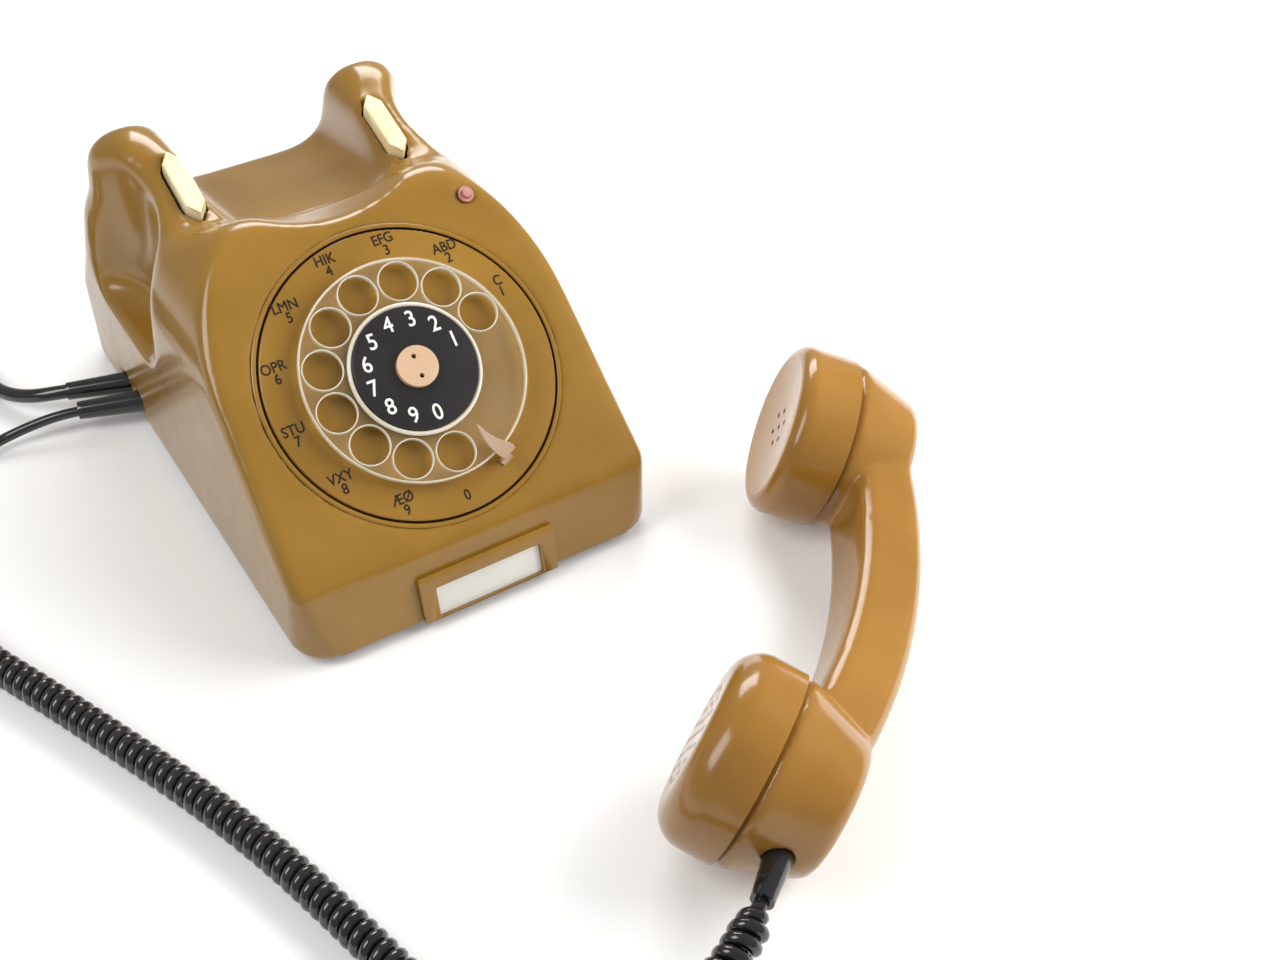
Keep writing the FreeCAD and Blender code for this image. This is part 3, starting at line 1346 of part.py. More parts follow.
def rounded_route(name, points):
    """Straight runs joined by tangent arcs."""
    radii = []
    edges = []
    start = points[0]
    for before, corner, after in zip(points, points[1:], points[2:]):
        radius, half_turn = turn_radius(before, corner, after)
        radii.append(radius)
        into, out = (corner - before).normalize(), (after - corner).normalize()
        reach = radius * math.tan(half_turn)
        arc_start, arc_end = corner - into * reach, corner + out * reach
        bisector = (out - into).normalize()
        arc_middle = corner + bisector * (radius / math.cos(half_turn) - radius)
        edges.append(Part.LineSegment(start, arc_start).toShape())
        edges.append(Part.Arc(arc_start, arc_middle, arc_end).toShape())
        start = arc_end
    edges.append(Part.LineSegment(start, points[-1]).toShape())
    print(name, "radii", [round(radius) for radius in radii], "length", round(sum(e.Length for e in edges)))
    return edges


def tube(edges, radius):
    first = edges[0]
    start = first.valueAt(first.FirstParameter)
    section = Part.Wire(Part.Circle(start, first.tangentAt(first.FirstParameter), radius).toShape())
    return Part.Wire(edges).makePipeShell([section], True, False)


def cord_tube(name, points, radius):
    edges = rounded_route(name, points)
    solid = tube(edges, radius)
    wanted = math.pi * radius * radius * sum(edge.Length for edge in edges)
    print(name, "volume over section times length", round(solid.Volume / wanted, 4))
    return solid


def walk(edges, step):
    """Points and directions at even steps along a chain of edges."""
    spots = []
    left = 0.0
    for edge in edges:
        while left < edge.Length:
            parameter = edge.getParameterByLength(left)
            spots.append((edge.valueAt(parameter), edge.tangentAt(parameter)))
            left += step
        left -= edge.Length
    return spots


def biarc(start, start_way, end, end_way):
    """Two arcs that leave start and reach end in the given directions."""
    span = end - start
    ways = start_way + end_way
    turn = 2 * (1 - start_way.dot(end_way))
    along = span.dot(ways)
    if turn < 1e-9:
        reach = span.dot(span) / (4 * span.dot(end_way))
    else:
        reach = (math.sqrt(along * along + turn * span.dot(span)) - along) / turn
    joint = (start + end + (start_way - end_way) * reach) * 0.5
    return [arc_leaving(start, start_way, joint), arc_leaving(end, end_way * -1, joint, True)]


def arc_leaving(start, way, end, backwards=False):
    chord = end - start
    angle = chord.getAngle(way)
    if angle < 1e-6:
        return Part.LineSegment(end, start).toShape() if backwards else Part.LineSegment(start, end).toShape()
    unit = Vector(chord).normalize()
    bulge = (way - unit * way.dot(unit)).normalize() * (chord.Length / 2 * math.tan(angle / 2))
    middle = start + chord * 0.5 + bulge
    return Part.Arc(end, middle, start).toShape() if backwards else Part.Arc(start, middle, end).toShape()


def least_gap(line, wire_radius):
    """The least distance between turns of a wound line, less the wire itself."""
    travelled = [0.0]
    for spot, after in zip(line, line[1:]):
        travelled.append(travelled[-1] + spot.distanceToPoint(after))
    least = 1e9
    for index, spot in enumerate(line):
        for other in range(index + 1, len(line)):
            if travelled[other] - travelled[index] > 4 * wire_radius:
                least = min(least, spot.distanceToPoint(line[other]))
    return least - 2 * wire_radius


def wound_tube(name, line, per_turn, wire_radius):
    """One tube through a finely pointed line, as biarcs of a quarter of a turn."""
    step = per_turn // 4
    marks = list(range(0, len(line) - 1, step))
    if len(line) - 1 - marks[-1] < step:
        marks[-1] = len(line) - 1
    else:
        marks.append(len(line) - 1)

    def way(index):
        if index == 0:
            return (line[1] * 4 - line[0] * 3 - line[2]).normalize()
        if index == len(line) - 1:
            return (line[-1] * 3 - line[-2] * 4 + line[-3]).normalize()
        return (line[index + 1] - line[index - 1]).normalize()

    edges = []
    for low, high in zip(marks, marks[1:]):
        edges += biarc(line[low], way(low), line[high], way(high))
    print(name, "least gap to itself", round(least_gap(line, wire_radius), 2), "mm, length",
          round(sum(edge.Length for edge in edges)))
    node(name, feature(name, tube(edges, wire_radius)))


def curled_line(points, per_turn):
    """A helix round the route, which starts and ends on it."""
    edges = rounded_route("curls", points)
    length = sum(edge.Length for edge in edges)
    turns = round(length / v.curl_pitch)
    count = turns * per_turn
    spots = walk(edges, length / count)[:count]
    spots.append((points[-1], (points[-1] - points[-2]).normalize()))
    side = spots[0][1].cross(Vector(0, 0, 1)).normalize()
    line = []
    ease = 2 * per_turn
    straight = per_turn
    for index, (spot, way) in enumerate(spots):
        side = (side - way * side.dot(way)).normalize()
        other = way.cross(side)
        from_end = min(index, count - index) - straight
        share = min(max(from_end / ease, 0.0), 1.0)
        radius = v.curl_radius * share * share * (3 - 2 * share)
        angle = 2 * math.pi * index / per_turn
        line.append(spot + side * (radius * math.cos(angle)) + other * (radius * math.sin(angle)))
    print("curls", turns)
    return line


def coiled_line(centre, low, per_turn):
    """Turns inwards on the lower layer and outwards on the upper one."""
    turns = int(v.coil_turns_per_layer)
    half = per_turn // 2
    layer = turns * per_turn
    rise = v.coil_spacing
    outer = v.coil_inner_radius + turns * v.coil_spacing
    line = []
    for index in range(2 * layer + half + 1):
        angle = 2 * math.pi * index / per_turn
        if index <= layer:
            radius, height = outer - v.coil_spacing * index / per_turn, 0.0
        elif index <= layer + half:
            share = (index - layer) / half
            radius = v.coil_inner_radius - v.coil_spacing / 2 * min(share, 1 - share)
            height = rise * share * share * (3 - 2 * share)
        else:
            radius = v.coil_inner_radius + v.coil_spacing * (index - layer - half) / per_turn
            height = rise
        line.append(centre + Vector(radius * math.cos(angle), radius * math.sin(angle), low + height))
    return line


def boot_exit(row):
    return boot_place(row).multVec(Vector(0, 0, v.boot_length / 2))


def boot_tip(row):
    return boot_place(row).multVec(Vector(0, 0, v.boot_length))


FLOOR_GAP = 0.2
LEAD_Z = v.lead_radius + FLOOR_GAP
CURL_Z = v.curl_radius + v.curl_wire_radius + FLOOR_GAP
COIL_Z = v.tie_thickness + FLOOR_GAP + v.line_radius
LINE_Z = v.line_radius + FLOOR_GAP
CURL_START = Vector(-162, -4, CURL_Z)
COIL_CENTRE = Vector(-160, 152, 0)


def make_handset_cord(end_at):
    tip = boot_tip(v.handset_boot_row)
    lead = [boot_exit(v.handset_boot_row), tip + (tip - boot_exit(v.handset_boot_row)) * 0.3,
            Vector(-105, 58, 6.4), Vector(-121, 59, 3.0), Vector(-138, 52, LEAD_Z),
            Vector(-152, 38, LEAD_Z + 0.4),
            Vector(-160, 18, LEAD_Z + 1.6), CURL_START]
    node("handset_cord_lead", feature("handset_cord_lead", cord_tube("handset_cord_lead", lead, v.lead_radius)))
    end = end_at.Base
    away = end_at.multVec(Vector(0, 0, v.curl_end_run)) - end
    curls = [CURL_START, Vector(-161, -22, CURL_Z), Vector(-153, -48, CURL_Z), Vector(-140, -77, CURL_Z),
             Vector(-127, -108, CURL_Z), Vector(-114, -140, CURL_Z), Vector(-103, -172, CURL_Z),
             Vector(-95, -203, CURL_Z), Vector(-88, -233, CURL_Z), Vector(-82.5, -254.5, CURL_Z + 0.5),
             Vector(-70.5, -270.5, CURL_Z + 3.5), Vector(-53.3, -280.7, CURL_Z + 9.5),
             Vector(-33.5, -283.3, CURL_Z + 16.5), end + away, end]
    line = curled_line(curls, 16)
    wound_tube("handset_cord_curls", line, 16, v.curl_wire_radius)


def make_line_cord():
    tip = boot_tip(v.line_boot_row)
    per_turn = 32
    line = coiled_line(COIL_CENTRE, COIL_Z, per_turn)
    wound_tube("line_cord_coil", line, per_turn, v.line_radius)
    lead = [boot_exit(v.line_boot_row), tip + (tip - boot_exit(v.line_boot_row)) * 0.3, Vector(-99.5, 75, 6.6),
            Vector(-106, 83.5, 4.8), Vector(-109.6, 93.4, 3.6), Vector(-111, 106, LINE_Z),
            Vector(-113.7, 128, COIL_Z), line[0]]
    tail = [line[-1], Vector(-206.1, 139, COIL_Z + v.coil_spacing), Vector(-205.6, 126, 7.6),
            plug_place().multVec(Vector(-v.relief_length / 2, 0, v.plug_thickness / 2)),
            plug_place().multVec(Vector(v.relief_length / 2, 0, v.plug_thickness / 2))]
    tubes = [feature("line_cord_lead", cord_tube("line_cord_lead", lead, v.line_radius)),
             feature("line_cord_tail", cord_tube("line_cord_tail", tail, v.line_radius))]
    node("line_cord", group("line_cord", tubes))


def plug_place():
    """Flat on the table beside the coil, with +X pointing away from the cord."""
    return place(-202, 108, 0, (0, 0, 1), -80)


def make_plug():
    at = plug_place()
    middle = v.plug_thickness / 2
    lying = Placement(Vector(0, 0, middle), Rotation(Vector(0, 1, 0), 90))
    relief = cone("plug_relief", "boot_tip_radius", "plug_thickness / 2", "relief_length", at * lying)
    shell = block("plug_shell", "plug_length", "plug_width", "plug_thickness",
                  at * place(v.relief_length + v.plug_length / 2))
    bore = cylinder("plug_bore", "line_radius", "relief_length / 2", at * lying)
    node("line_plug", cut("line_plug", fuse("plug_blank", [relief, shell]), [bore]))
    pins = []
    for column in (-1, 0, 1):
        root = place(v.relief_length + v.plug_length, column * v.plug_width / 3)
        pins.append(cylinder("plug_pin", "pin_radius", "pin_length", at * root * lying))
    node("plug_pins", group("plug_pins", pins))


def make_tie():
    """A flat band round one side of the coil."""
    outer = v.coil_inner_radius + v.coil_turns_per_layer * v.coil_spacing + v.line_radius + v.slide_clearance
    inner = v.coil_inner_radius - v.coil_spacing / 4 - v.line_radius - v.slide_clearance
    tall = COIL_Z + v.coil_spacing + v.line_radius + v.slide_clearance - v.tie_thickness
    at = COIL_CENTRE + Vector(0, (outer + inner) / 2, 0)
    band = block("tie_band", "tie_width", "%f + 2 * tie_thickness" % (outer - inner),
                 "%f + 2 * tie_thickness" % tall, place(at.x, at.y, 0))
    hollow = block("tie_hollow", "2 * tie_width", "%f" % (outer - inner), "%f" % tall,
                   place(at.x, at.y, v.tie_thickness))
    node("cord_tie", cut("cord_tie", band, [hollow]))


CORD_NODES = ("handset_cord_lead", "handset_cord_curls", "line_cord", "line_cord_coil", "cord_tie", "line_plug",
              "plug_pins", "handset_cord_boot", "line_cord_boot", "handset_boot")


def centre_layout():
    """Moves every piece so that the base and handset together are centred on the origin."""
    boxes = [obj.Shape.optimalBoundingBox(False) for name, obj in nodes.items() if name not in CORD_NODES]
    middle_x = (min(box.XMin for box in boxes) + max(box.XMax for box in boxes)) / 2
    middle_y = (min(box.YMin for box in boxes) + max(box.YMax for box in boxes)) / 2
    shift = place(-middle_x, -middle_y)
    for obj in nodes.values():
        obj.Placement = shift * obj.Placement
    print("layout shift", round(-middle_x, 4), round(-middle_y, 4))
    return shift


def check_all():
    for obj in doc.Objects:
        if "Invalid" in obj.State or "Error" in obj.State:
            raise ValueError("%s did not build: %s" % (obj.Name, obj.State))
    for name, obj in nodes.items():
        if obj.Shape.isNull() or not obj.Shape.isValid():
            raise ValueError("%s has no valid shape" % name)


make_casing()
make_base_plate()
make_feet()
make_base_screws()
make_label()
make_dial_fixed()
make_finger_stop()
make_bridge()
make_finger_wheel()
make_dial_centre()
make_gears()
make_mainspring()
make_button()
make_plungers()
make_lever()
make_bracket()
make_ringer()
make_gongs()
make_board()
make_boots()
make_handset_cord(make_handset())
make_line_cord()
make_plug()
make_tie()
doc.recompute()
check_all()
shift = centre_layout()
doc.recompute()
check_all()
for title, spot in (
    ("dial centre", dial_frame_place.Base),
    ("dial axis outwards", dial_frame_place.Rotation.multVec(Vector(0, 0, 1))),
    ("governor on the face", governor_place(0).Base),
    ("button", button_place.Base),
    ("plunger right", plunger_place(1).Base),
    ("plunger axis outwards", plunger_place(1).Rotation.multVec(Vector(0, 0, 1))),
    ("lever pivot", Vector(0, LEVER_PIVOT_Y, LEVER_PIVOT_Z)),
    ("clapper pin", Vector(0, CLAPPER_Y, v.coil_height)),
    ("handset", nodes["handset_body"].Placement.Base - shift.Base),
):
    print("before the shift,", title, [round(value, 4) for value in spot])
os.makedirs("parts", exist_ok=True)
for name, obj in nodes.items():
    obj.Shape.exportStep("parts/%s.step" % name)
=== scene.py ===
import json
import math
import bmesh
import bpy
import numpy as np
from mathutils import Matrix, Vector


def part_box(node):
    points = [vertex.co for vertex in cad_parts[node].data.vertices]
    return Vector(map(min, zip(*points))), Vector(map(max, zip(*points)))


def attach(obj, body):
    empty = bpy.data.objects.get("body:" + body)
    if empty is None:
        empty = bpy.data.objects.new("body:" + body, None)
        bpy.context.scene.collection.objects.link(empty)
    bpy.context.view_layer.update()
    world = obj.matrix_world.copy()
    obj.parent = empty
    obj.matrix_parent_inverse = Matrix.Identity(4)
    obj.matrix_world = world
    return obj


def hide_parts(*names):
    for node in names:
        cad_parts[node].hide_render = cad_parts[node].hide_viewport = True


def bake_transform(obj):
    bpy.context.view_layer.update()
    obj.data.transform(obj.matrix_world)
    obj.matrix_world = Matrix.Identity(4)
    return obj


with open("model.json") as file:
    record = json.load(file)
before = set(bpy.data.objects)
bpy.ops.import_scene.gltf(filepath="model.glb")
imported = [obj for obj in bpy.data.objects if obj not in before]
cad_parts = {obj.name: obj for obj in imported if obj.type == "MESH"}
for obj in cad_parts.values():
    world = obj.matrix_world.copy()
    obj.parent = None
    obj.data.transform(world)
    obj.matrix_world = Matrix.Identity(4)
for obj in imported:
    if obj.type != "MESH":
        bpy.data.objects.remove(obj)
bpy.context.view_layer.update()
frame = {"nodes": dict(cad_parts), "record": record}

nodes = frame["nodes"]
scene = bpy.context.scene
MM = 0.001

# The middle of the base on the table: routes and places below are given from it, in millimetres
plate_low, plate_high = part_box("base_plate")
BASE = Vector(((plate_low.x + plate_high.x) / 2, (plate_low.y + plate_high.y) / 2, 0))


def spot(x, y, z):
    return BASE + Vector((x, y, z)) * MM


def link(name, mesh):
    obj = bpy.data.objects.new(name, mesh)
    scene.collection.objects.link(obj)
    return obj


# Camera at the photograph's place
CAMERA_PLACE = (-159.5, -459.0, 386.6)
CAMERA_RIGHT = Vector((0.84376, -0.53669, -0.00602))
CAMERA_UP = Vector((0.35793, 0.55429, 0.75143))
CAMERA_FORWARD = Vector((0.39995, 0.63618, -0.65978))
SENSOR_WIDTH = 36.0
FOCAL_PIXELS = 1600.42
PHOTO_WIDTH = 1280
CLIP_START = 0.01
camera_data = bpy.data.cameras.new("camera")
camera_data.sensor_width = SENSOR_WIDTH
camera_data.lens = FOCAL_PIXELS / PHOTO_WIDTH * SENSOR_WIDTH
camera_data.clip_start = CLIP_START
camera = bpy.data.objects.new("camera", camera_data)
scene.collection.objects.link(camera)
turn = Matrix((CAMERA_RIGHT, CAMERA_UP, -CAMERA_FORWARD)).transposed()
camera.matrix_world = Matrix.Translation(spot(*CAMERA_PLACE)) @ turn.to_4x4()
scene.camera = camera


# Materials
NOISE_LOW, NOISE_HIGH = 0.3, 0.7
PATCH_LOW, PATCH_HIGH = 0.35, 0.68
PATCH_SCALE = 25.0
SMEAR_SCALE = PATCH_SCALE * 3.1
GRAIN_SCALE = 900.0
GRAIN_DEPTH = 0.0002
COAT_ROUGHNESS = 0.06
CLEAR_PATCH_SCALE = 60.0
CLEAR_SMEAR_SCALE = 140.0
CLEAR_ROUGH = (0.04, 0.14)
CLEAR_IOR = 1.6
CLEAR_COAT_ROUGHNESS = 0.03


def new_material(name):
    material = bpy.data.materials.new(name)
    material.use_nodes = True
    tree = material.node_tree
    return material, tree, tree.nodes["Principled BSDF"]


def linear(rgb):
    """A colour as seen on a screen, in the renderer's linear light."""
    return tuple((c / 12.92 if c <= 0.04045 else ((c + 0.055) / 1.055) ** 2.4) for c in rgb) + (1.0,)


def noise(tree, scale, detail=4.0):
    places = tree.nodes.new("ShaderNodeTexCoord")
    texture = tree.nodes.new("ShaderNodeTexNoise")
    texture.inputs["Scale"].default_value = scale
    texture.inputs["Detail"].default_value = detail
    tree.links.new(places.outputs["Object"], texture.inputs["Vector"])
    return texture.outputs["Fac"]


def ramp(tree, source, low, high, low_value, high_value):
    """Maps a noise onto two colours."""
    node = tree.nodes.new("ShaderNodeValToRGB")
    node.color_ramp.elements[0].position = low
    node.color_ramp.elements[1].position = high
    node.color_ramp.elements[0].color = low_value
    node.color_ramp.elements[1].color = high_value
    tree.links.new(source, node.inputs["Fac"])
    return node.outputs["Color"]


def spread(tree, source, low_value, high_value):
    """Maps a noise onto a range of numbers."""
    node = tree.nodes.new("ShaderNodeMapRange")
    node.inputs["From Min"].default_value = NOISE_LOW
    node.inputs["From Max"].default_value = NOISE_HIGH
    node.inputs["To Min"].default_value = low_value
    node.inputs["To Max"].default_value = high_value
    tree.links.new(source, node.inputs["Value"])
    return node.outputs["Result"]


def bump(tree, shader, source, strength, distance):
    node = tree.nodes.new("ShaderNodeBump")
    node.inputs["Strength"].default_value = strength
    node.inputs["Distance"].default_value = distance
    tree.links.new(source, node.inputs["Height"])
    tree.links.new(node.outputs["Normal"], shader.inputs["Normal"])


def surface(name, dark, light, rough, grain=0.05, metallic=0.0, coat=0.0):
    """A finish whose colour drifts between two tones, with uneven gloss and a fine grain."""
    material, tree, shader = new_material(name)
    patches = noise(tree, PATCH_SCALE)
    tint = ramp(tree, patches, PATCH_LOW, PATCH_HIGH, linear(dark), linear(light))
    tree.links.new(tint, shader.inputs["Base Color"])
    smears = noise(tree, SMEAR_SCALE)
    tree.links.new(spread(tree, smears, *rough), shader.inputs["Roughness"])
    bump(tree, shader, noise(tree, GRAIN_SCALE), grain, GRAIN_DEPTH)
    shader.inputs["Metallic"].default_value = metallic
    shader.inputs["Coat Weight"].default_value = coat
    shader.inputs["Coat Roughness"].default_value = COAT_ROUGHNESS
    return material


def clear_plastic(name, dark, light, alpha):
    """A glossy, see-through finish with slight smears."""
    material, tree, shader = new_material(name)
    patches = noise(tree, CLEAR_PATCH_SCALE)
    tint = ramp(tree, patches, NOISE_LOW, NOISE_HIGH, linear(dark), linear(light))
    tree.links.new(tint, shader.inputs["Base Color"])
    smears = noise(tree, CLEAR_SMEAR_SCALE)
    tree.links.new(spread(tree, smears, *CLEAR_ROUGH), shader.inputs["Roughness"])
    shader.inputs["Alpha"].default_value = alpha
    shader.inputs["IOR"].default_value = CLEAR_IOR
    shader.inputs["Coat Weight"].default_value = 1.0
    shader.inputs["Coat Roughness"].default_value = CLEAR_COAT_ROUGHNESS
    return material


casing_finish = surface("mustard_casing", (0.55, 0.405, 0.135), (0.60, 0.445, 0.165), (0.17, 0.26), coat=0.2)
handset_finish = surface("mustard_handset", (0.57, 0.40, 0.145), (0.62, 0.44, 0.175), (0.16, 0.25), coat=0.2)
cream_finish = surface("cream_plungers", (0.96, 0.89, 0.68), (0.99, 0.94, 0.78), (0.28, 0.40), coat=0.2)
black_finish = surface("black_disc", (0.13, 0.12, 0.13), (0.17, 0.16, 0.165), (0.30, 0.42))
cord_finish = surface("black_cord", (0.10, 0.10, 0.11), (0.14, 0.135, 0.145), (0.14, 0.24), coat=0.6)
rubber_finish = surface("black_rubber", (0.05, 0.05, 0.05), (0.085, 0.082, 0.08), (0.45, 0.62), grain=0.2)
chrome_finish = surface("bright_metal", (0.83, 0.70, 0.58), (0.90, 0.79, 0.68), (0.24, 0.36), metallic=0.6)
steel_finish = surface("plain_steel", (0.52, 0.52, 0.53), (0.64, 0.64, 0.64), (0.28, 0.42), metallic=1.0)
brass_finish = surface("brass", (0.70, 0.53, 0.22), (0.82, 0.66, 0.34), (0.22, 0.36), metallic=1.0)
dark_metal_finish = surface("black_lacquer", (0.10, 0.10, 0.10), (0.15, 0.145, 0.14), (0.35, 0.5))
card_finish = surface("white_card", (0.90, 0.90, 0.87), (0.95, 0.945, 0.92), (0.55, 0.7), grain=0.15)
winding_finish = surface("varnished_wire", (0.40, 0.18, 0.09), (0.52, 0.26, 0.13), (0.3, 0.45), grain=0.4)
board_finish = surface("brown_board", (0.36, 0.25, 0.12), (0.44, 0.31, 0.17), (0.4, 0.55))
print_finish = surface("dark_print", (0.14, 0.10, 0.07), (0.19, 0.14, 0.10), (0.4, 0.55))
white_print_finish = surface("white_print", (0.93, 0.92, 0.88), (0.97, 0.96, 0.93), (0.35, 0.5))
wheel_finish = clear_plastic("clear_wheel", (0.74, 0.62, 0.44), (0.80, 0.70, 0.54), 0.16)
# Near-white, more opaque clear plastic for the wheel's edges: painted highlights where they catch light
rim_highlight_finish = clear_plastic("clear_rims_painted_highlight", (0.95, 0.92, 0.83), (0.99, 0.98, 0.93), 0.72)
window_finish = clear_plastic("clear_window", (0.97, 0.97, 0.95), (0.99, 0.99, 0.98), 0.06)
copper_finish = surface("satin_copper", (0.86, 0.71, 0.57), (0.92, 0.78, 0.65), (0.34, 0.46), metallic=0.3)
# Dark brown for the dial frame down in the groove: its own dark colour, tinted brown as painted shade in the
# groove
groove_shade_finish = surface("groove_painted_shade", (0.18, 0.09, 0.05), (0.25, 0.13, 0.08), (0.4, 0.55))
button_finish = surface("rosy_button", (0.72, 0.50, 0.46), (0.80, 0.60, 0.56), (0.22, 0.34), coat=0.3)

FINISHES = {
    "casing_plastic": casing_finish,
    "number_plate_plastic": casing_finish,
    "handset_plastic": handset_finish,
    "plunger_plastic": cream_finish,
    "clear_plastic": wheel_finish,
    "black_plastic": black_finish,
    "dark_metal": dark_metal_finish,
    "bright_metal": chrome_finish,
    "steel": steel_finish,
    "brass": brass_finish,
    "rubber": rubber_finish,
    "cord_rubber": cord_finish,
    "card": card_finish,
    "winding": winding_finish,
    "board": board_finish,
}


def paint(obj, material):
    obj.data.materials.clear()
    obj.data.materials.append(material)


# Every carried-over node gets its finish and soft shading; those listed below also get finely broken edges
EDGE_BREAK = {"number_plate": 0.3, "label_frame": 1.2, "left_plunger": 0.5, "right_plunger": 0.5,
              "number_disc": 0.3, "finger_wheel": 0.5, "face_button": 0.5, "button_bush": 0.25,
              "line_plug": 1.5, "plug_pins": 0.3, "handset_boot": 0.4, "handset_cord_boot": 0.4,
              "line_cord_boot": 0.4, "cord_tie": 0.2, "rubber_feet": 0.5, "base_plate": 0.3}
SHARP_ANGLE = math.radians(32)
BREAK_ANGLE = math.radians(40)
WELD_DISTANCE = 0.00001
EDGE_SEGMENTS = 3
# The dial frame takes the groove's painted shade
OWN_FINISH = {"dial_nut": copper_finish, "dial_frame": groove_shade_finish, "label_window": window_finish,
              "face_button": button_finish, "button_bush": button_finish}
slot_of = {part["node"]: part["material_slot"] for part in frame["record"]["subparts"]}
for name, obj in nodes.items():
    mesh = obj.data
    if "custom_normal" in mesh.attributes:
        mesh.attributes.remove(mesh.attributes["custom_normal"])
    mesh.shade_smooth()
    mesh.set_sharp_from_angle(angle=SHARP_ANGLE)
    paint(obj, OWN_FINISH.get(name, FINISHES[slot_of[name]]))
    if name in EDGE_BREAK:
        weld = obj.modifiers.new("weld", "WELD")
        weld.merge_threshold = WELD_DISTANCE
        edge = obj.modifiers.new("edge", "BEVEL")
        edge.width = EDGE_BREAK[name] * MM
        edge.segments = EDGE_SEGMENTS
        edge.limit_method = "ANGLE"
        edge.angle_limit = BREAK_ANGLE


# Moulded shells: the solid's own form with softly rounded edges, softest where the weights say so
PULL = 0.5


def soft_skin(node, body, voxel, rounds, material, weight, trim=None):
    source = bpy.data.objects.new(node + "_source", nodes[node].data.copy())
    scene.collection.objects.link(source)
    remesh = source.modifiers.new("remesh", "REMESH")
    remesh.mode = "VOXEL"
    remesh.voxel_size = voxel
    evaluated = source.evaluated_get(bpy.context.evaluated_depsgraph_get())
    mesh = bpy.data.meshes.new_from_object(evaluated)
    bpy.data.objects.remove(source)
    places = np.empty(3 * len(mesh.vertices))
    mesh.vertices.foreach_get("co", places)
    places = places.reshape(-1, 3)
    pairs = np.empty(2 * len(mesh.edges), int)
    mesh.edges.foreach_get("vertices", pairs)
    first, second = pairs.reshape(-1, 2).T
    count = len(places)
    neighbours = np.bincount(first, minlength=count) + np.bincount(second, minlength=count)
    share = (PULL * weight(places) / neighbours)[:, None]
    for _ in range(rounds):
        pull = np.zeros_like(places)
        for axis in range(3):
            pull[:, axis] += np.bincount(first, places[second, axis] - places[first, axis], count)
            pull[:, axis] += np.bincount(second, places[first, axis] - places[second, axis], count)
        places += share * pull
    if trim:
        trim(places)
    mesh.vertices.foreach_set("co", places.ravel())
    mesh.update()
    mesh.name = node + "_skin"
    mesh.shade_smooth()
    skin = link(node + "_skin", mesh)
    paint(skin, material)
    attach(skin, body)
    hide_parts(node)


def smoothstep(low, high, values):
    share = np.clip((values - low) / (high - low), 0, 1)
    return share * share * (3 - 2 * share)


# The plungers and their slots, then the heights and depths over which the casing turns soft
PLUNGER = (37.5, 23.976, 104.192)
PLUNGER_RISE = math.radians(19)
PLUNGER_HALF = (3.5, 15.0)
PLUNGER_POINT = 5.0
PLUNGER_ROOM = (4.2, 16.0)
SLOT_DEPTH = (-14.0, 4.0)
SLOT_ROOM = 0.8
SLOT_BLUNT = 1.8
SLOT_FADE = 3
SOFT_HEIGHTS = (40, 62)
SOFT_DEPTHS = (-30, -8)
EVERYWHERE = 0.12
HANDSET_SOFTNESS = 0.5


def casing_softness(places):
    """Soft round the cradle, crisp round the plungers' slots and lower down."""
    local = (places - np.array(BASE)) / MM
    high = smoothstep(*SOFT_HEIGHTS, local[:, 2]) * smoothstep(*SOFT_DEPTHS, local[:, 1])
    aside = np.abs(np.abs(local[:, 0]) - PLUNGER[0]) - PLUNGER_ROOM[0]
    along = np.abs(local[:, 1] - PLUNGER[1]) - PLUNGER_ROOM[1]
    spare = smoothstep(0, SLOT_FADE, np.maximum(aside, along))
    return EVERYWHERE + (1 - EVERYWHERE) * high * spare


def widen_slots(places):
    """Moves the walls of the two slots off the plungers, which slide in them."""
    local = (places - np.array(BASE)) / MM - np.array((0, PLUNGER[1], PLUNGER[2]))
    across = np.abs(local[:, 0]) - PLUNGER[0]
    along = local[:, 1] * math.cos(PLUNGER_RISE) + local[:, 2] * math.sin(PLUNGER_RISE)
    out = local[:, 2] * math.cos(PLUNGER_RISE) - local[:, 1] * math.sin(PLUNGER_RISE)
    tip_across, tip_along = Vector((PLUNGER_POINT, PLUNGER_HALF[0])).normalized()
    wall = np.abs(across) - PLUNGER_HALF[0]
    tip = tip_across * np.abs(across) + tip_along * (np.abs(along) - PLUNGER_HALF[1])
    in_slot = (out > SLOT_DEPTH[0]) & (out < SLOT_DEPTH[1])
    short = SLOT_ROOM - np.maximum(wall, tip)
    short = np.where(in_slot & (short > 0), short, 0)
    beyond = np.abs(along) - PLUNGER_HALF[1]
    near_end = (beyond > -2 * SLOT_BLUNT) & (beyond < SLOT_ROOM)
    blunt = in_slot & near_end & (np.abs(across) < SLOT_BLUNT)
    short = np.where(blunt, 0, short)
    at_tip = tip > wall
    outwards = np.sign(local[:, 0]) * np.sign(across)
    places[:, 0] += outwards * short * np.where(at_tip, tip_across, 1) * MM
    stretch = np.where(blunt, SLOT_ROOM - beyond, short * np.where(at_tip, tip_along, 0))
    lengthen = np.sign(along) * stretch * MM
    places[:, 1] += lengthen * math.cos(PLUNGER_RISE)
    places[:, 2] += lengthen * math.sin(PLUNGER_RISE)


def even_softness(places):
    return np.full(len(places), HANDSET_SOFTNESS)


coarse = 1.0
casing_voxel, casing_rounds = 1.2 * MM * coarse, 60
handset_voxel, handset_rounds = 0.9 * MM * coarse, 28
soft_skin("casing", "base", casing_voxel, casing_rounds, casing_finish, casing_softness, widen_slots)
soft_skin("handset_body", "handset", handset_voxel, handset_rounds, handset_finish, even_softness)


# Cords: routes repeated from the model's source
def nurbs(name, points, resolution):
    curve = bpy.data.curves.new(name, "CURVE")
    curve.dimensions = "3D"
    spline = curve.splines.new("NURBS")
    spline.points.add(len(points) - 1)
    for point, place in zip(spline.points, points):
        point.co = (*place, 1.0)
    spline.order_u = 3
    spline.use_endpoint_u = True
    spline.resolution_u = resolution
    return curve


ROUTE_RESOLUTION = 24


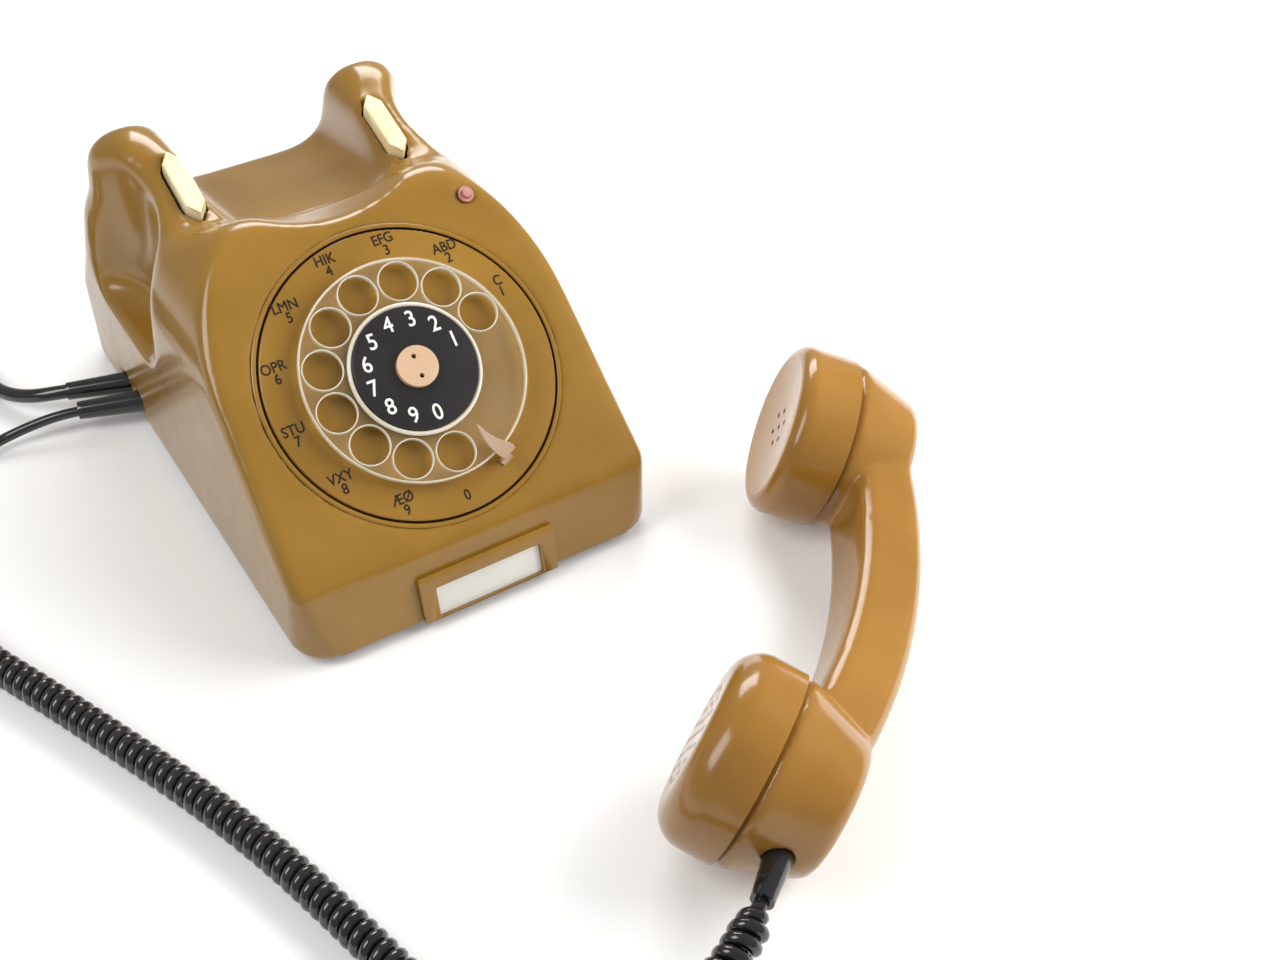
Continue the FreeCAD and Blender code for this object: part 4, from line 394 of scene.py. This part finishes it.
def line_of(points):
    """Points read from the smooth spline along a route."""
    curve = nurbs("route", points, ROUTE_RESOLUTION)
    obj = bpy.data.objects.new("route", curve)
    scene.collection.objects.link(obj)
    mesh = bpy.data.meshes.new_from_object(obj)
    line = np.array([vertex.co for vertex in mesh.vertices], float)
    bpy.data.objects.remove(obj)
    bpy.data.curves.remove(curve)
    bpy.data.meshes.remove(mesh)
    return line


def lengths_of(line):
    return np.concatenate([[0.0], np.cumsum(np.linalg.norm(np.diff(line, axis=0), axis=1))])


def evenly(line, count):
    travelled = lengths_of(line)
    wanted = np.linspace(0, travelled[-1], count)
    return np.stack([np.interp(wanted, travelled, line[:, axis]) for axis in range(3)], 1)


def frames_along(line):
    """Two sides at right angles to a line, which don't twist along it."""
    ways = np.gradient(line, axis=0)
    ways /= np.linalg.norm(ways, axis=1)[:, None]
    side = np.cross(ways[0], (0.0, 0.0, 1.0))
    sides = []
    for way in ways:
        side = side - way * side.dot(way)
        side = side / np.linalg.norm(side)
        sides.append(side)
    sides = np.array(sides)
    return sides, np.cross(ways, sides)


def tube_mesh(name, line, radius, around):
    sides, others = frames_along(line)
    mesh = bpy.data.meshes.new(name)
    verts = []
    for centre, side, other in zip(line, sides, others):
        for index in range(around):
            angle = 2 * math.pi * index / around
            verts.append(centre + radius * (math.cos(angle) * side + math.sin(angle) * other))
    faces = []
    for ring in range(len(line) - 1):
        for index in range(around):
            after = (index + 1) % around
            low, high = ring * around, (ring + 1) * around
            faces.append((low + index, low + after, high + after, high + index))
    faces.append(tuple(reversed(range(around))))
    faces.append(tuple(range((len(line) - 1) * around, len(line) * around)))
    mesh.from_pydata([tuple(vert) for vert in verts], [], faces)
    mesh.shade_smooth()
    return mesh


# Handset cord: a plain lead from the base, then tight curls up to the handset
HANDSET_LEAD = [(-76.71, 50.40, 8.8), (-90.31, 54.82, 8.8), (-105, 58, 6.4), (-121, 59, 3.0),
                (-138, 52, 2.3), (-152, 38, 2.7), (-160, 18, 3.9)]
CURL_ROUTE = [(-162, -4, 5.7), (-161, -22, 5.7), (-153, -48, 5.7), (-140, -77, 5.7), (-127, -108, 5.7),
              (-114, -140, 5.7), (-103, -172, 5.7), (-95, -203, 5.7), (-88, -233, 5.7), (-82.5, -254.5, 6.2),
              (-70.5, -270.5, 9.2), (-53.3, -280.7, 15.2), (-33.5, -283.3, 22.2), (-15.46, -278.95, 26.45),
              (-1.19, -268.0, 25.6)]
CURL_TURNS = 84
CURL_RADIUS = 3.6 * MM
WIRE_RADIUS = 2.0 * MM
POINTS_PER_CURL = 20
LEAD_POINTS = 60
WIRE_SIDES = 10


def handset_cord():
    route = line_of([spot(*point) for point in HANDSET_LEAD + CURL_ROUTE])
    start = np.array(spot(*CURL_ROUTE[0]))
    first = int(np.argmin(np.linalg.norm(route - start, axis=1)))
    lead = evenly(route[:first + 1], LEAD_POINTS)
    axis = evenly(route[first:], CURL_TURNS * POINTS_PER_CURL + 1)
    sides, others = frames_along(axis)
    index = np.arange(len(axis))
    from_end = np.minimum(index, len(axis) - 1 - index) - POINTS_PER_CURL
    radius = CURL_RADIUS * smoothstep(0, 2 * POINTS_PER_CURL, from_end)
    angle = 2 * np.pi * index / POINTS_PER_CURL
    curls = axis + (radius * np.cos(angle))[:, None] * sides + (radius * np.sin(angle))[:, None] * others
    line = np.concatenate([lead[:-1], curls])
    cord = link("handset_cord", tube_mesh("handset_cord", line, WIRE_RADIUS, WIRE_SIDES))
    paint(cord, cord_finish)
    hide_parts("handset_cord_lead", "handset_cord_curls")
    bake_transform(cord)


# Line cord: a short lead, a tied coil in two layers and a tail to the plug
LINE_LEAD = [(-76.71, 64.40, 8.8), (-90.31, 68.82, 8.8), (-99.5, 75, 6.6), (-106, 83.5, 4.8),
             (-109.6, 93.4, 3.6), (-111, 106, 3.0), (-113.7, 128, 4.0)]
LINE_TAIL = [(-206.1, 139, 10.2), (-205.6, 126, 7.6), (-203.04, 113.91, 5.0), (-200.96, 102.09, 5.0)]
COIL_CENTRE = (-160, 152)
COIL_LOW = 4.0
COIL_SPACING = 6.2
COIL_INNER = 21.0
COIL_TURNS = 4
COIL_POINTS = 24
LINE_RADIUS = 2.8
LINE_RESOLUTION = 4


def coil_route():
    """Inwards on the lower layer, up in half a turn, outwards on the upper layer."""
    half = COIL_POINTS // 2
    layer = COIL_TURNS * COIL_POINTS
    points = []
    for index in range(2 * layer + half + 1):
        angle = 2 * math.pi * index / COIL_POINTS
        if index <= layer:
            radius = COIL_INNER + COIL_SPACING * (COIL_TURNS - index / COIL_POINTS)
            rise = 0.0
        elif index <= layer + half:
            share = (index - layer) / half
            radius = COIL_INNER - COIL_SPACING / 2 * min(share, 1 - share)
            rise = COIL_SPACING * smoothstep(0, 1, share)
        else:
            radius = COIL_INNER + COIL_SPACING * (index - layer - half) / COIL_POINTS
            rise = COIL_SPACING
        x = COIL_CENTRE[0] + radius * math.cos(angle)
        y = COIL_CENTRE[1] + radius * math.sin(angle)
        points.append((x, y, COIL_LOW + rise))
    return points


def line_cord():
    points = [spot(*point) for point in LINE_LEAD + coil_route() + LINE_TAIL]
    length = float(lengths_of(line_of(points))[-1])
    curve = nurbs("line_cord_run", points, LINE_RESOLUTION)
    curve.bevel_depth = LINE_RADIUS * MM
    curve.bevel_resolution = LINE_RESOLUTION
    curve.use_fill_caps = True
    cord = link("line_cord_run", curve)
    paint(cord, cord_finish)
    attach(cord, "base")
    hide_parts("line_cord", "line_cord_coil")


handset_cord()
line_cord()


# Dial: lettering, the wheel's edges with painted highlights, the lip of the opening and the finger stop
FACE_SLOPE = math.radians(41.5)
FACE_UP = Vector((0, math.cos(FACE_SLOPE), math.sin(FACE_SLOPE)))
FACE_OUT = Vector((0, -math.sin(FACE_SLOPE), math.cos(FACE_SLOPE)))
DIAL_CENTRE = spot(0, -65.033, 66.7754)
PLATE_FACE = 0.6
WHEEL_TOP = 5.2
WHEEL_UNDER = 2.8
DISC_TOP = 7.2
HOLE_CIRCLE = 30.0
HOLE_RADIUS = 6.5
HOLE_ANGLES = [21.0 + 28.0 * index for index in range(10)]


def on_dial(x, y, height):
    """A place on the dial's face, in millimetres from its centre and above the face."""
    turn = Matrix((Vector((1, 0, 0)), FACE_UP, FACE_OUT)).transposed().to_4x4()
    return Matrix.Translation(DIAL_CENTRE) @ turn @ Matrix.Translation(Vector((x, y, height)) * MM)


def round_dial(radius, angle):
    """Across and up from the dial's centre, from a radius and an angle in degrees."""
    return radius * math.cos(math.radians(angle)), radius * math.sin(math.radians(angle))


PRINT_THICKNESS = 0.03
PRINT_LIFT = 0.04
PRINT_RESOLUTION = 6


def words(text, size, at, squeeze, bold):
    """A piece of flat lettering as a mesh at its place."""
    curve = bpy.data.curves.new("words", "FONT")
    curve.body = text
    curve.size = size * MM
    curve.align_x = "CENTER"
    curve.align_y = "CENTER"
    curve.extrude = PRINT_THICKNESS * MM
    curve.bevel_depth = bold * MM
    curve.bevel_resolution = 0
    curve.resolution_u = PRINT_RESOLUTION
    obj = bpy.data.objects.new("words", curve)
    scene.collection.objects.link(obj)
    bpy.context.view_layer.update()
    mesh = bpy.data.meshes.new_from_object(obj.evaluated_get(bpy.context.evaluated_depsgraph_get()))
    bpy.data.objects.remove(obj)
    mesh.transform(at @ Matrix.Diagonal((squeeze, 1, 1, 1)))
    return mesh


def joined(name, meshes, material, body):
    """One piece made of several meshes, which rides on a body."""
    build = bmesh.new()
    for mesh in meshes:
        build.from_mesh(mesh)
        bpy.data.meshes.remove(mesh)
    whole = bpy.data.meshes.new(name)
    build.to_mesh(whole)
    build.free()
    obj = link(name, whole)
    paint(obj, material)
    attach(obj, body)
    return obj


RING_LETTERS = ["C", "ABD", "EFG", "HIK", "LMN", "OPR", "STU", "VXY", "ÆØ", ""]
RING_DIGITS = "1234567890"
RING_RADIUS = 44.2
RING_SIZE = 5.0
RING_BOLD = 0.07
RING_SQUEEZE = 0.88
RING_ANGLES = [23.2 + 27.5 * index for index in range(10)]
ROW_STEP = 2.0


def ring_lettering():
    meshes = []
    for angle, letters, digit in zip(RING_ANGLES, RING_LETTERS, RING_DIGITS):
        x, y = round_dial(RING_RADIUS, angle)
        rows = [(letters, ROW_STEP), (digit, -ROW_STEP)] if letters else [(digit, 0)]
        for text, step in rows:
            at = on_dial(x, y + step, PLATE_FACE + PRINT_LIFT)
            meshes.append(words(text, RING_SIZE, at, RING_SQUEEZE, RING_BOLD))
    joined("ring_lettering", meshes, print_finish, "base")


DISC_DIGIT_RADIUS = 16.2
DISC_DIGIT_SIZE = 7.6
DISC_DIGIT_BOLD = 0.08
DISC_DIGIT_SQUEEZE = 0.9
DISC_DIGIT_ANGLES = [16.2 + 28.4 * index for index in range(10)]


def disc_digits():
    meshes = []
    for angle, digit in zip(DISC_DIGIT_ANGLES, RING_DIGITS):
        x, y = round_dial(DISC_DIGIT_RADIUS, angle)
        at = on_dial(x, y, DISC_TOP + PRINT_LIFT)
        meshes.append(words(digit, DISC_DIGIT_SIZE, at, DISC_DIGIT_SQUEEZE, DISC_DIGIT_BOLD))
    joined("disc_digits", meshes, white_print_finish, "dial")


def ring_mesh(centre_x, centre_y, profile, around):
    """A ring turned round an axis of the dial from a closed profile of radius and height."""
    build = bmesh.new()
    at = on_dial(centre_x, centre_y, 0)
    rings = []
    for index in range(around):
        angle = 2 * math.pi * index / around
        cos, sin = math.cos(angle), math.sin(angle)
        corners = [Vector((radius * cos, radius * sin, height)) for radius, height in profile]
        rings.append([build.verts.new(at @ (corner * MM)) for corner in corners])
    count = len(profile)
    for index in range(around):
        here, after = rings[index], rings[(index + 1) % around]
        for step in range(count):
            build.faces.new((here[step], after[step], after[(step + 1) % count], here[(step + 1) % count]))
    bmesh.ops.recalc_face_normals(build, faces=build.faces)
    mesh = bpy.data.meshes.new("ring")
    build.to_mesh(mesh)
    build.free()
    mesh.shade_smooth()
    return mesh


PROFILE_STEPS = 10


def round_profile(radius, height, half_width, half_height):
    """An oval section for a ring, by its middle and its half sizes."""
    angles = [2 * math.pi * step / PROFILE_STEPS for step in range(PROFILE_STEPS)]
    return [(radius + half_width * math.cos(angle), height + half_height * math.sin(angle))
            for angle in angles]


COLLAR_LIFT = 0.2
RIM_LIFT = 0.15
HOLE_COLLAR = (HOLE_RADIUS + 0.15, 0.3)
WHEEL_RIM = (37.6, 0.45)
DISC_LIP = (21.7, WHEEL_TOP + 0.5, 0.8, 0.9)
COLLAR_SIDES = 48
RIM_SIDES = 120
DISC_LIP_SIDES = 72


def wheel_collar_highlights():
    """The edges of the clear wheel, whitish and more opaque as painted highlights: the hole walls, the rim
    and the lip round the disc.
    """
    middle = (WHEEL_TOP + WHEEL_UNDER) / 2
    half = (WHEEL_TOP - WHEEL_UNDER) / 2
    meshes = []
    for angle in HOLE_ANGLES:
        x, y = round_dial(HOLE_CIRCLE, angle)
        collar = round_profile(HOLE_COLLAR[0], middle + COLLAR_LIFT, HOLE_COLLAR[1], half + COLLAR_LIFT)
        meshes.append(ring_mesh(x, y, collar, COLLAR_SIDES))
    rim = round_profile(WHEEL_RIM[0], middle + RIM_LIFT, WHEEL_RIM[1], half + COLLAR_LIFT)
    meshes.append(ring_mesh(0, 0, rim, RIM_SIDES))
    meshes.append(ring_mesh(0, 0, round_profile(*DISC_LIP), DISC_LIP_SIDES))
    collars = joined("wheel_collar_highlights", meshes, rim_highlight_finish, "dial")
    collars.data.shade_smooth()


OPENING_RADIUS = 50.6
OPENING_LIP = (OPENING_RADIUS + 0.35, -0.1, 0.8, 0.4)
OPENING_LIP_SIDES = 160


def opening_lip():
    """The neat rounded edge of the casing round the dial."""
    ring = ring_mesh(0, 0, round_profile(*OPENING_LIP), OPENING_LIP_SIDES)
    lip = joined("opening_lip", [ring], casing_finish, "base")
    lip.data.shade_smooth()


STOP_ANGLE = math.radians(-65.0)
STOP_OUTLINE = [(26.6, -0.4), (28.6, -0.3), (30.8, -0.2), (33.0, 0.2), (35.0, 0.8), (36.8, 1.6), (38.4, 2.5),
                (40.0, 2.9), (41.2, 2.5), (41.2, -2.5), (39.6, -3.2), (37.0, -3.4), (34.2, -3.2),
                (31.6, -2.6), (29.2, -1.7), (27.4, -0.9)]
STOP_LEG = [(40.0, -2.5), (41.2, -2.5), (41.2, 2.5), (40.0, 2.5)]
STOP_FOOT = [(40.0, -2.5), (43.0, -2.2), (43.0, 2.2), (40.0, 2.5)]
STOP_UNDER = 7.0
STOP_THICK = 1.1
STOP_JOIN = 0.01
STOP_FOOT_THICK = 0.9
STOP_EDGE = 0.25


def finger_stop():
    """A claw that stands on the plate and reaches in over the wheel."""
    at = on_dial(0, 0, 0) @ Matrix.Rotation(STOP_ANGLE, 4, "Z")
    build = bmesh.new()

    def plate(outline, low, high):
        rows = []
        for height in (low, high):
            rows.append([build.verts.new(at @ (Vector((x, y, height)) * MM)) for x, y in outline])
        build.faces.new(rows[1])
        build.faces.new(list(reversed(rows[0])))
        count = len(outline)
        for index in range(count):
            after = (index + 1) % count
            build.faces.new((rows[0][index], rows[0][after], rows[1][after], rows[1][index]))

    plate(list(reversed(STOP_OUTLINE)), STOP_UNDER, STOP_UNDER + STOP_THICK)
    plate(STOP_LEG, PLATE_FACE, STOP_UNDER + STOP_JOIN)
    plate(STOP_FOOT, PLATE_FACE, PLATE_FACE + STOP_FOOT_THICK)
    bmesh.ops.recalc_face_normals(build, faces=build.faces)
    mesh = bpy.data.meshes.new("finger_stop_claw")
    build.to_mesh(mesh)
    build.free()
    mesh.shade_smooth()
    mesh.set_sharp_from_angle(angle=BREAK_ANGLE)
    claw = link("finger_stop_claw", mesh)
    edge = claw.modifiers.new("edge", "BEVEL")
    edge.width = STOP_EDGE * MM
    edge.segments = EDGE_SEGMENTS
    paint(claw, chrome_finish)
    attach(claw, "base")
    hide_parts("finger_stop")


ring_lettering()
disc_digits()
wheel_collar_highlights()
opening_lip()
finger_stop()


# Floor, lights and picture settings
FLOOR_SIZE = 8
FLOOR_DROP = 0.0005
FLOOR_DARK = (0.93, 0.93, 0.925)
FLOOR_LIGHT = (0.95, 0.95, 0.945)
FLOOR_NOISE = 3.0
FLOOR_ROUGHNESS = 0.7
FLOOR_GLOW = 0.12
WORLD_COLOUR = (1.0, 0.99, 0.97, 1.0)
WORLD_STRENGTH = 0.36
LAMP_AIM = (20, -60, 40)
# Name, place, size and power of each lamp; the fill lamp stays out of reflections
LAMPS = (
    ("window", (-520, -60, 620), (0.35, 0.5), 3.0),
    ("back_window", (330, 520, 560), (0.5, 0.35), 3.8),
    ("fill", (620, -380, 400), (0.7, 0.7), 8.5),
)


def stage_and_light():
    bpy.ops.mesh.primitive_plane_add(size=FLOOR_SIZE)
    floor = bpy.context.object
    floor.name = "floor"
    floor.location.z = -FLOOR_DROP
    material, tree, shader = new_material("pale_floor")
    patches = noise(tree, FLOOR_NOISE)
    tint = ramp(tree, patches, NOISE_LOW, NOISE_HIGH, linear(FLOOR_DARK), linear(FLOOR_LIGHT))
    tree.links.new(tint, shader.inputs["Base Color"])
    shader.inputs["Roughness"].default_value = FLOOR_ROUGHNESS
    shader.inputs["Emission Color"].default_value = (1.0, 1.0, 1.0, 1.0)
    seen = tree.nodes.new("ShaderNodeLightPath")
    either = tree.nodes.new("ShaderNodeMath")
    either.operation = "MAXIMUM"
    any_of = tree.nodes.new("ShaderNodeMath")
    any_of.operation = "MAXIMUM"
    glow = tree.nodes.new("ShaderNodeMath")
    glow.operation = "MULTIPLY"
    glow.inputs[1].default_value = FLOOR_GLOW
    tree.links.new(seen.outputs["Is Camera Ray"], either.inputs[0])
    tree.links.new(seen.outputs["Is Glossy Ray"], either.inputs[1])
    tree.links.new(either.outputs["Value"], any_of.inputs[0])
    tree.links.new(seen.outputs["Is Transmission Ray"], any_of.inputs[1])
    tree.links.new(any_of.outputs["Value"], glow.inputs[0])
    tree.links.new(glow.outputs["Value"], shader.inputs["Emission Strength"])
    paint(floor, material)
    world = bpy.data.worlds.new("studio")
    world.use_nodes = True
    background = world.node_tree.nodes["Background"]
    background.inputs["Color"].default_value = WORLD_COLOUR
    background.inputs["Strength"].default_value = WORLD_STRENGTH
    scene.world = world
    for name, place, size, power in LAMPS:
        data = bpy.data.lights.new(name, "AREA")
        data.shape = "RECTANGLE"
        data.size, data.size_y = size
        data.energy = power
        lamp = bpy.data.objects.new(name, data)
        lamp.location = spot(*place)
        lamp.visible_glossy = name != "fill"
        aim = spot(*LAMP_AIM) - lamp.location
        lamp.rotation_mode = "QUATERNION"
        lamp.rotation_quaternion = aim.to_track_quat("-Z", "Y")
        scene.collection.objects.link(lamp)


stage_and_light()
scene.view_settings.view_transform = "Standard"
